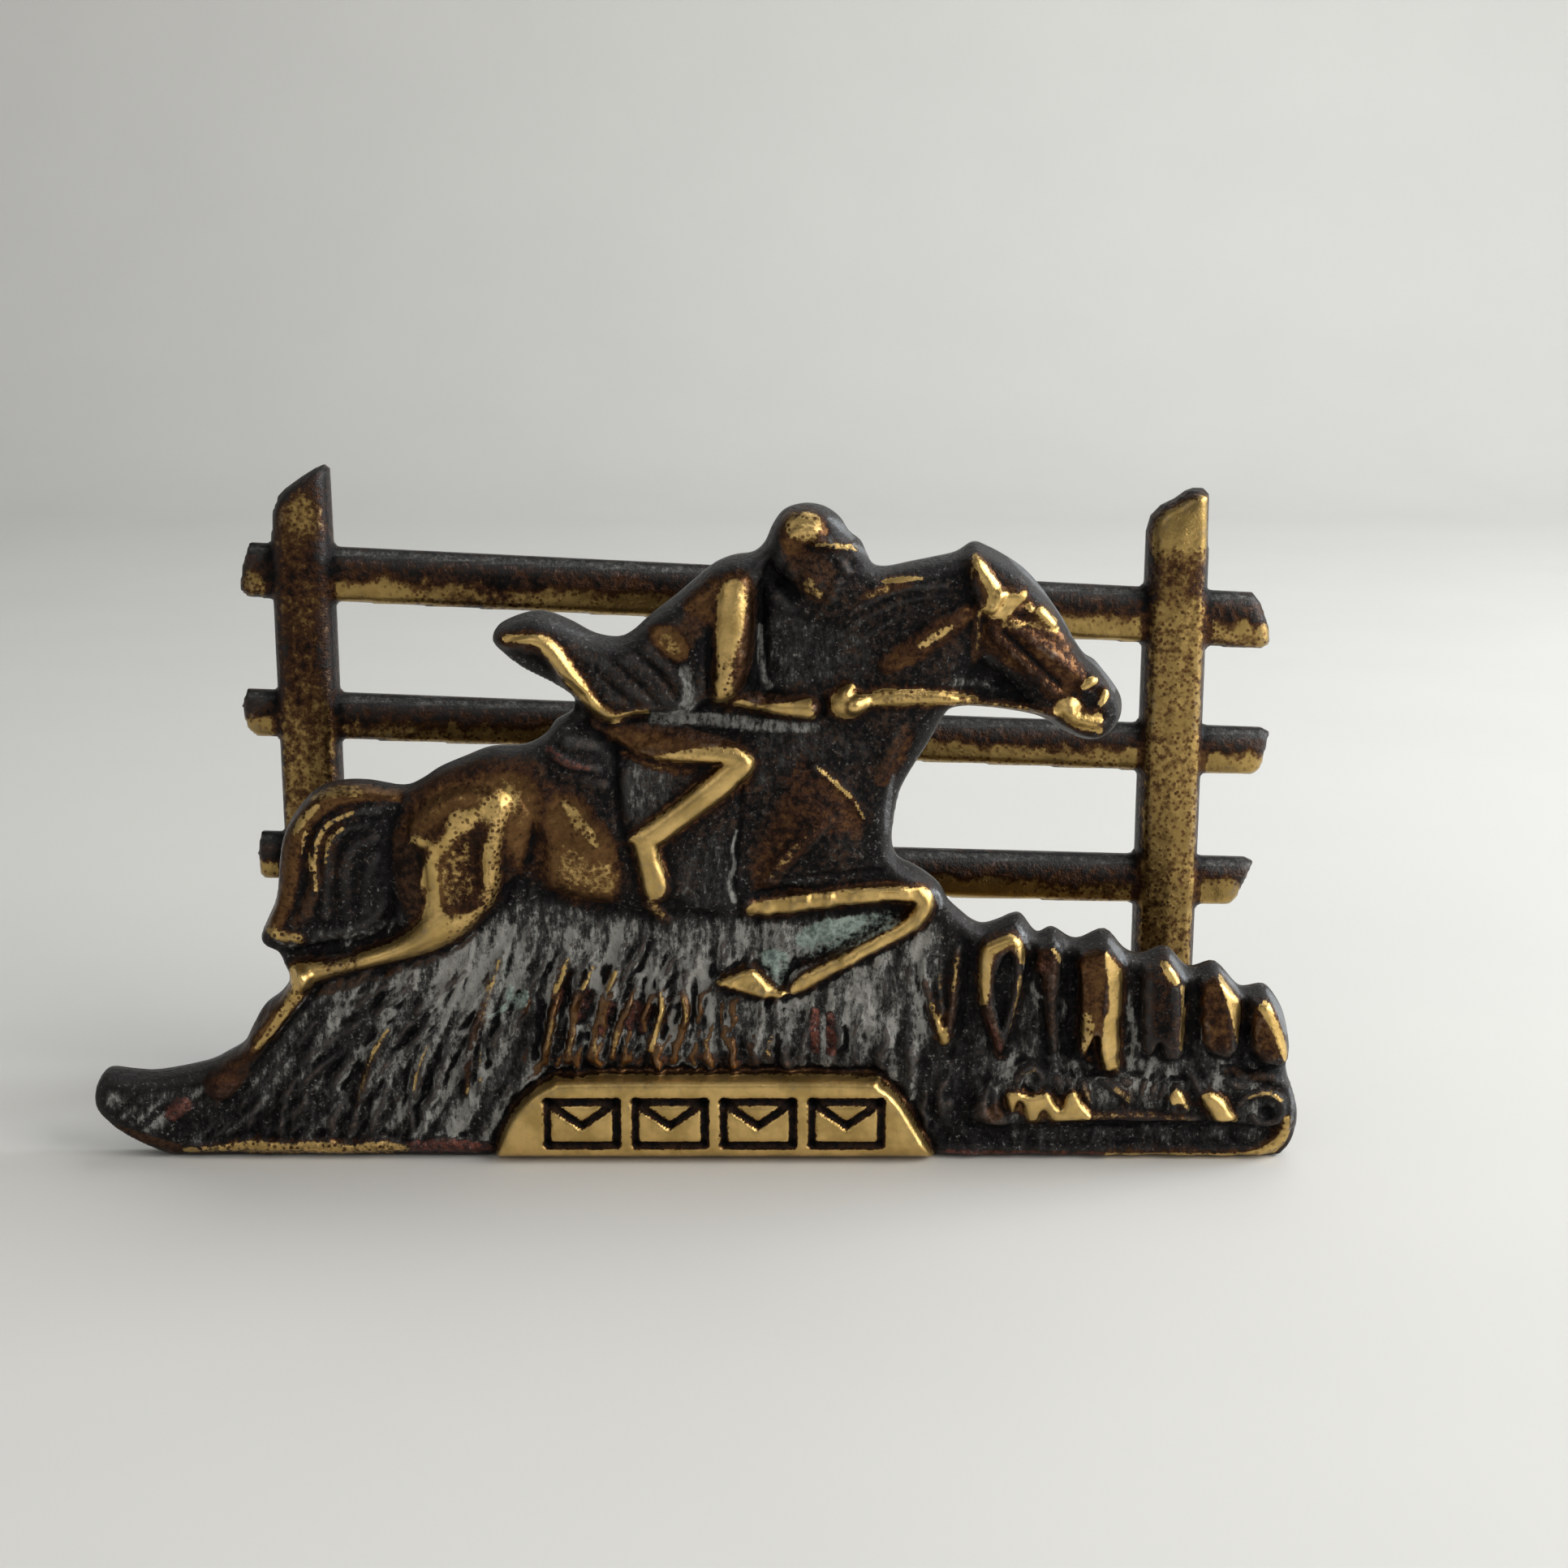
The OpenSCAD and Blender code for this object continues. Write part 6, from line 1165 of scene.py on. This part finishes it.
def build_fence():
    """Heights of the rails and posts, the distance inside their outline, and inside the posts alone."""
    grid = Grid(*FENCE_REACH, FENCE_STEP)
    depth = np.full(grid.x.shape, -9.0)
    top = np.full(grid.x.shape, -9.0)
    for points in FENCE_RAILS:
        d = depth_inside(grid.x, grid.z, np.array(points, float))
        face = -RAIL_GAP - 0.5 * (1 - np.clip(d / d.max(), 0, 1)) - 2.0 * (1 - dome(d, 0.9))
        slant = -RAIL_EDGE + (RAIL_EDGE - RAIL_GAP) * below_top(points, grid) / BEVEL_WIDTH
        top = np.where(d > 0, np.maximum(top, np.minimum(face, slant)), top)
        depth = soft_max(depth, d, 0.7)
    posts = np.full(grid.x.shape, -9.0)
    for points in FENCE_POSTS:
        posts = np.maximum(posts, depth_inside(grid.x, grid.z, np.array(points, float)))
    face = -0.5 * (1 - np.clip(posts / 4.4, 0, 1)) - 3.2 * (1 - dome(posts, 1.3))
    top = np.where(posts > 0, soft_max(top, face, 0.5), top)
    depth = soft_max(depth, posts, 0.9)
    top = np.where(depth > 0, np.maximum(top, -3.4), -3.6)
    top += 0.05 * grid.noise(2.4) + 0.03 * grid.noise(1.0)
    top = np.clip(grid.blur(top, 0.4), -3.8, -0.02)
    return grid, depth, top, posts


fence_grid, fence_depth, fence_top, post_depth = build_fence()


def fence_layers():
    """Gold low on the rails and on the right post, a painted highlight near the left post's top, and painted
    shade along the posts' edges and on their tops.
    """
    x, z = fence_grid.x, fence_grid.z
    bump = fence_top - fence_grid.blur(fence_top, 1.2)
    gold = np.zeros(x.shape)
    bevel = np.zeros(x.shape)
    patches = fence_grid.noise(18.0, 0.4)
    ragged = fence_grid.noise(1.6)
    for points in FENCE_RAILS:
        d = depth_inside(x, z, np.array(points, float))
        below = below_top(points, fence_grid)
        share = below / (2 * d.max()) + 0.12 * ragged
        gold = np.where(d > 0, (0.68 + 0.34 * patches) * smooth(0.32, 0.72, share), gold)
        bevel = np.maximum(bevel, (d > 0) * smooth(1.4, 1.0, below))
    # Painted highlight: a gold glow near the left post's top
    painted_post_highlight = smooth(1.3, 0.4, np.hypot((x + 57.6) / 2.6, (z - 85) / 3.4))
    left_post = 0.3 + 0.2 * smooth(62, 50, z) + 0.26 * painted_post_highlight
    right_post = 0.56 + 0.3 * smooth(79, 81, z) - 0.2 * smooth(80, 77, z) * smooth(71, 74, z)
    gold = np.where(post_depth > 0, np.where(x < 0, left_post, right_post), gold)
    # Painted shade along the posts' edges, where they round off and meet the rails
    dark = smooth(0.9, 0.1, np.abs(post_depth)) * (fence_depth > 0)
    # Painted shade on the slanted tops of the posts
    left_painted_top_shade = smooth(88, 90.4, z - 0.55 * (x + 58))
    right_painted_top_shade = smooth(85.6, 87.2, z - 0.35 * (x - 68))
    painted_top_shade = np.where(x < 0, left_painted_top_shade, right_painted_top_shade)
    gold *= smooth(-0.5, -0.1, bump) * (1 - dark) * (1 - painted_top_shade)
    bevel = np.where(post_depth > 0, 0, bevel)
    zero = np.zeros(x.shape)
    return {
        "gold": gold,
        "brown": 0.5 * (1 - 0.8 * dark) * (1 - 0.6 * painted_top_shade) * (1 - 0.5 * bevel),
        "copper": zero,
        "dust": np.maximum(0.25 * dark, 0.66 * bevel),
        "green": zero,
        # Painted shade along the posts' edges, and black patina with painted shade in the hollows
        "deep": np.maximum(dark, smooth(-0.1, -0.5, bump)),
        "ridge": smooth(0.05, 0.3, bump),
        "tarnish": np.maximum(fence_grid.blur(gold, 0.8), 0.16 * (1 - dark) * (1 - bevel)),
    }


fence_piece = cast_sheet("rail_fence", fence_grid, fence_depth, fence_top, FENCE_FRONT, FENCE_BACK,
                         fence_layers(), FENCE_RIM, True)


def soft_boxes(name, boxes, bevel):
    """Boxes with rounded edges in one mesh."""
    verts, faces = [], []
    sides = ((0, 2, 3, 1), (4, 5, 7, 6), (0, 1, 5, 4), (2, 6, 7, 3), (0, 4, 6, 2), (1, 3, 7, 5))
    for x_span, y_span, z_span in boxes:
        n = len(verts)
        verts += [(x * MM, y * MM, z * MM) for z in z_span for y in y_span for x in x_span]
        faces += [[n + i for i in side] for side in sides]
    mesh = bpy.data.meshes.new(name)
    mesh.from_pydata(verts, [], faces)
    mesh.shade_smooth()
    obj = show(name, mesh)
    rounding = obj.modifiers.new("bevel", "BEVEL")
    rounding.width = bevel * MM
    rounding.segments = 3
    return obj


feet = [((x - FOOT_HALF, x + FOOT_HALF), FOOT_Y, FOOT_Z) for x in FOOT_MIDDLES]
feet_piece = soft_boxes("fence_feet", feet, FOOT_BEVEL)


# Materials
class Nodes:
    """A procedural material under construction."""

    def __init__(self, name):
        self.material = bpy.data.materials.new(name)
        self.material.use_nodes = True
        self.tree = self.material.node_tree
        self.tree.nodes.clear()
        self.shader = self.node("BsdfPrincipled")
        self.node("OutputMaterial", {"Surface": self.shader.outputs[0]})
        self.coords = self.node("TexCoord").outputs["Object"]

    def link(self, value, socket):
        if isinstance(value, bpy.types.NodeSocket):
            self.tree.links.new(value, socket)
        else:
            socket.default_value = value

    def node(self, kind, inputs=()):
        """New node with these inputs linked or set."""
        node = self.tree.nodes.new("ShaderNode" + kind)
        for key, value in dict(inputs).items():
            self.link(value, node.inputs[key])
        return node

    def attribute(self, name):
        node = self.node("Attribute")
        node.attribute_name = name
        return node.outputs["Fac"]

    def noise(self, size_mm, detail, rough, stretch=None):
        source = self.coords
        if stretch:
            source = self.node("Mapping", {"Vector": source, "Scale": stretch}).outputs["Vector"]
        inputs = {"Vector": source, "Scale": 1000.0 / size_mm, "Detail": detail, "Roughness": rough}
        return self.node("TexNoise", inputs).outputs["Fac"]

    def cells(self, size_mm):
        inputs = {"Vector": self.coords, "Scale": 1000.0 / size_mm}
        return self.node("TexVoronoi", inputs).outputs["Distance"]

    def math(self, kind, a, b):
        node = self.node("Math", {0: a, 1: b})
        node.operation = kind
        return node.outputs[0]

    def add(self, a, b):
        return self.math("ADD", a, b)

    def less(self, a, b):
        return self.math("SUBTRACT", a, b)

    def times(self, a, b):
        return self.math("MULTIPLY", a, b)

    def most(self, a, b):
        return self.math("MAXIMUM", a, b)

    def blend(self, a, b, share):
        return self.add(self.times(a, share), self.times(b, 1 - share))

    def ramp(self, value, low, high):
        node = self.node("MapRange", {"Value": value, "From Min": low, "From Max": high})
        node.interpolation_type = "SMOOTHSTEP"
        return node.outputs["Result"]

    def mix(self, fac, a, b, colour=True):
        node = self.node("Mix")
        node.data_type = "RGBA" if colour else "FLOAT"
        sockets = [s for s in node.inputs if s.enabled]
        self.link(fac, sockets[0])
        self.link((*a, 1) if isinstance(a, tuple) else a, sockets[1])
        self.link((*b, 1) if isinstance(b, tuple) else b, sockets[2])
        return next(s for s in node.outputs if s.enabled)

    def bump(self, height, strength, distance_mm):
        inputs = {"Height": height, "Strength": strength, "Distance": distance_mm * MM}
        self.link(self.node("Bump", inputs).outputs["Normal"], self.shader.inputs["Normal"])


BLACK_PATINA_AND_SHADE = (0.003, 0.0028, 0.003)
CHARCOAL = (0.013, 0.0115, 0.0115)
STEEL = (0.055, 0.053, 0.052)
PAINTED_HIGHLIGHT = (0.17, 0.175, 0.18)
UMBER = (0.021, 0.0115, 0.0085)
BROWN = (0.082, 0.042, 0.023)
CHESTNUT = (0.05, 0.021, 0.012)
AMBER = (0.15, 0.077, 0.03)
TARNISH = (0.31, 0.19, 0.07)
GOLD = (0.72, 0.49, 0.185)
OLD_GOLD = (0.48, 0.32, 0.108)
FENCE_GOLD = (0.46, 0.31, 0.106)
OLD_FENCE_GOLD = (0.33, 0.22, 0.074)
COPPER = (0.21, 0.068, 0.046)
DARK_COPPER = (0.075, 0.03, 0.026)
FILM = (0.07, 0.07, 0.067)
DUST = (0.33, 0.325, 0.298)
GREEN = (0.33, 0.4, 0.355)
DARK_GREEN = (0.1, 0.135, 0.12)


def aged_brass(name, bright, dull, speckle_mm=0.9, film=0.8, crust_level=2.4):
    """Old cast brass: black patina with painted shade in the hollows, brown, copper, dust, amber, gold,
    painted silvery highlights and green, by painted layer.
    """
    n = Nodes(name)
    fine = n.noise(speckle_mm, 5.0, 0.7)
    coarse = n.noise(4.5, 3.0, 0.6)
    grain = n.noise(0.5, 3.0, 0.7)
    mottle = n.blend(fine, coarse, 0.7)
    jitter = n.less(mottle, 0.5)

    def mask(attribute, spread, low, high):
        return n.ramp(n.add(n.attribute(attribute), n.times(jitter, spread)), low, high)

    # Where each layer shows
    deep = n.attribute("deep")
    ridge = n.attribute("ridge")
    pits = n.times(n.ramp(n.cells(0.8), 0.42, 0.26), n.ramp(n.attribute("gold"), 0.95, 0.6))
    gold = n.times(mask("gold", 1.7, 0.34, 0.68), n.less(1.0, pits))
    tone = n.add(n.attribute("tarnish"), n.times(jitter, 1.3))
    halo = n.times(n.ramp(tone, 0.08, 0.36), 0.92)
    brown = mask("brown", 1.8, 0.25, 0.85)
    copper = mask("copper", 2.0, 0.3, 0.9)
    green = mask("green", 1.9, 0.3, 0.8)
    crust = n.blend(n.noise(0.8, 6.0, 0.75, (1.0, 1.0, 0.3)), n.noise(1.1, 8.0, 0.8), 0.6)
    crust = n.times(n.less(crust, 0.5), crust_level)
    speck = n.ramp(n.add(grain, n.times(jitter, 0.5)), 0.54, 0.7)
    dust = n.most(n.ramp(n.add(n.attribute("dust"), crust), 0.3, 0.95), n.times(speck, film))
    dust = n.times(dust, n.less(0.9, n.times(brown, 0.6)))
    # Painted highlight: where the ridge layer runs above 1, silvery glints are painted in
    painted_glint = n.times(n.ramp(n.add(ridge, jitter), 0.95, 1.4), 0.85)
    freckle = n.times(n.ramp(n.cells(0.75), 0.42, 0.26), n.ramp(n.noise(2.4, 2.0, 0.5), 0.42, 0.6))

    base = n.mix(n.ramp(mottle, 0.4, 0.62), BLACK_PATINA_AND_SHADE, CHARCOAL)
    base = n.mix(n.times(ridge, 0.7), base, STEEL)
    base = n.mix(brown, base, n.mix(n.ramp(mottle, 0.4, 0.6), UMBER, BROWN))
    base = n.mix(n.times(copper, 0.85), base, n.mix(n.ramp(fine, 0.4, 0.6), DARK_COPPER, COPPER))
    base = n.mix(dust, base, n.mix(n.ramp(n.add(dust, jitter), 0.4, 1.0), FILM, DUST))
    # Hollows go near black: black patina and painted shade
    base = n.mix(n.times(deep, 0.85), base, BLACK_PATINA_AND_SHADE)
    stain = n.mix(n.ramp(tone, 0.2, 0.55), CHESTNUT, AMBER)
    stain = n.mix(n.ramp(tone, 0.55, 0.95), stain, TARNISH)
    base = n.mix(halo, base, n.mix(n.times(freckle, 0.6), stain, UMBER))
    base = n.mix(gold, base, n.mix(n.ramp(coarse, 0.35, 0.65), bright, dull))
    # Painted highlight: the silvery glints
    base = n.mix(painted_glint, base, PAINTED_HIGHLIGHT)
    base = n.mix(green, base, n.mix(n.ramp(mottle, 0.38, 0.6), DARK_GREEN, GREEN))
    n.link(base, n.shader.inputs["Base Color"])
    n.shader.inputs["Specular IOR Level"].default_value = 0.1

    metal = n.mix(n.most(brown, ridge), 0.3, 0.75, False)
    metal = n.mix(dust, metal, 0.0, False)
    metal = n.mix(n.most(halo, painted_glint), metal, 1.0, False)
    metal = n.mix(green, metal, 0.0, False)
    n.link(metal, n.shader.inputs["Metallic"])

    rough = n.add(0.22, n.times(mottle, 0.26))
    rough = n.mix(dust, rough, 0.8, False)
    rough = n.mix(halo, rough, n.add(0.2, n.times(fine, 0.18)), False)
    rough = n.mix(gold, rough, n.add(0.2, n.times(fine, 0.2)), False)
    rough = n.mix(green, rough, 0.85, False)
    n.link(rough, n.shader.inputs["Roughness"])

    polish = n.less(1.0, n.times(n.most(gold, halo), 0.72))
    n.bump(n.times(n.blend(fine, grain, 0.6), polish), 0.9, 0.5)
    return n.material


def plain_brass(name, bright, dull, tarnish, rough):
    """Brass of the hidden pieces: lightly scratched, with tarnished spots."""
    n = Nodes(name)
    coarse = n.noise(6.0, 4.0, 0.6)
    fine = n.noise(1.1, 3.0, 0.6)
    scratch = n.noise(1.4, 2.0, 0.5, (0.08, 1.0, 1.0))
    spots = n.ramp(n.blend(coarse, fine, 0.6), 0.46, 0.62)
    base = n.mix(n.ramp(scratch, 0.35, 0.65), dull, bright)
    n.link(n.mix(spots, base, tarnish), n.shader.inputs["Base Color"])
    n.link(n.mix(spots, 1.0, 0.7, False), n.shader.inputs["Metallic"])
    n.link(n.add(rough, n.times(fine, 0.2)), n.shader.inputs["Roughness"])
    n.bump(n.add(scratch, fine), 0.15, 0.12)
    return n.material


panel_brass = aged_brass("panel_patina_and_painted_light", GOLD, OLD_GOLD)
fence_brass = aged_brass("fence_patina_and_painted_light", FENCE_GOLD, OLD_FENCE_GOLD, 1.2, 0.12, 1.0)
foot_brass = plain_brass("foot_patina", (0.4, 0.26, 0.1), (0.3, 0.19, 0.075), (0.07, 0.04, 0.025), 0.32)
base_brass = plain_brass("base_patina", (0.5, 0.35, 0.14), (0.38, 0.26, 0.1), (0.1, 0.065, 0.035), 0.3)
screw_brass = plain_brass("screw_satin", (0.62, 0.45, 0.19), (0.5, 0.36, 0.15), (0.2, 0.13, 0.06), 0.26)

# The CAD solids that stay, each with its finish
for name, finish in (("base_plate", base_brass), ("left_bracket", base_brass), ("right_bracket", base_brass),
                     ("panel_screws", screw_brass), ("fence_screws", screw_brass)):
    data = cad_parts[name].data
    data.materials.clear()
    data.materials.append(finish)

# The pieces that stand in for CAD solids: finish, node and slot
for piece, finish, node, slot in ((panel_piece, panel_brass, "front_panel", "panel_brass"),
                                  (fence_piece, fence_brass, "back_fence", "fence_brass"),
                                  (feet_piece, foot_brass, "back_fence", "fence_brass")):
    piece.data.materials.append(finish)
    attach(piece, "root")
    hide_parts(node)

# Stage, light and camera

# Stage in metres: half width, near edge, start and radius of the bend, top of the wall
STAGE_HALF, STAGE_NEAR, BEND_START, BEND, WALL_TOP = 3.5, -3.0, 0.75, 0.3, 2.6
STAGE_LIGHT, STAGE_DARK = (0.65, 0.64, 0.605), (0.61, 0.6, 0.57)


def stage_material(name, light, dark):
    n = Nodes(name)
    n.link(n.mix(n.noise(60.0, 3.0, 0.5), light, dark), n.shader.inputs["Base Color"])
    n.shader.inputs["Roughness"].default_value = 0.75
    return n.material


def sweep():
    """Floor that turns up into a wall behind the object."""
    turns = np.linspace(0, math.pi / 2, 12)
    profile = [(STAGE_NEAR, 0.0)]
    profile += [(BEND_START + BEND * math.sin(a), BEND - BEND * math.cos(a)) for a in turns]
    profile += [(BEND_START + BEND, WALL_TOP)]
    verts = [(x, y, z) for x in (-STAGE_HALF, STAGE_HALF) for y, z in profile]
    n = len(profile)
    mesh = bpy.data.meshes.new("backdrop")
    mesh.from_pydata(verts, [], [(i, n + i, n + i + 1, i + 1) for i in range(n - 1)])
    mesh.shade_smooth()
    mesh.materials.append(stage_material("backdrop_paint", STAGE_LIGHT, STAGE_DARK))
    return show("backdrop", mesh)


sweep()

# Lamps: name, place and aim in metres, size, power and colour
LAMPS = [
    ("window", (0.82, -0.28, 0.5), (0, 0, 0.04), 1.0, 12.0, (1.0, 0.985, 0.96)),
    ("sky", (0.35, 0.55, 1.0), (0, 0.05, 0.0), 0.9, 3.8, (0.95, 0.98, 1.0)),
    ("pane", (0.95, 0.22, 0.4), (0.02, 0, 0.05), 0.55, 7.0, (0.86, 0.93, 1.0)),
    ("room", (-0.55, -0.9, 0.75), (0, 0, 0.04), 1.1, 2.0, (1.0, 0.97, 0.93)),
]
ROOM_COLOUR, ROOM_STRENGTH = (0.62, 0.63, 0.64, 1), 0.3

for name, spot, aim, size, power, colour in LAMPS:
    lamp = bpy.data.lights.new(name, "AREA")
    lamp.shape = "DISK"
    lamp.size = size
    lamp.energy = power
    lamp.color = colour
    lamp_object = show(name, lamp)
    lamp_object.location = spot
    lamp_object.rotation_euler = (Vector(aim) - Vector(spot)).to_track_quat("-Z", "Y").to_euler()

world = bpy.data.worlds.new("room_light")
bpy.context.scene.world = world
world.use_nodes = True
background = world.node_tree.nodes["Background"]
background.inputs["Color"].default_value = ROOM_COLOUR
background.inputs["Strength"].default_value = ROOM_STRENGTH

camera = bpy.data.cameras.new("camera")
camera.sensor_width = 36.0
camera.lens = CAMERA_LENS
camera.clip_start = 0.01
view = show("camera", camera)
view.location = [c * MM for c in CAMERA]
view.rotation_euler = (math.radians(90 - CAMERA_FALL), 0, 0)
bpy.context.scene.camera = view
bpy.context.scene.view_settings.view_transform = "Standard"
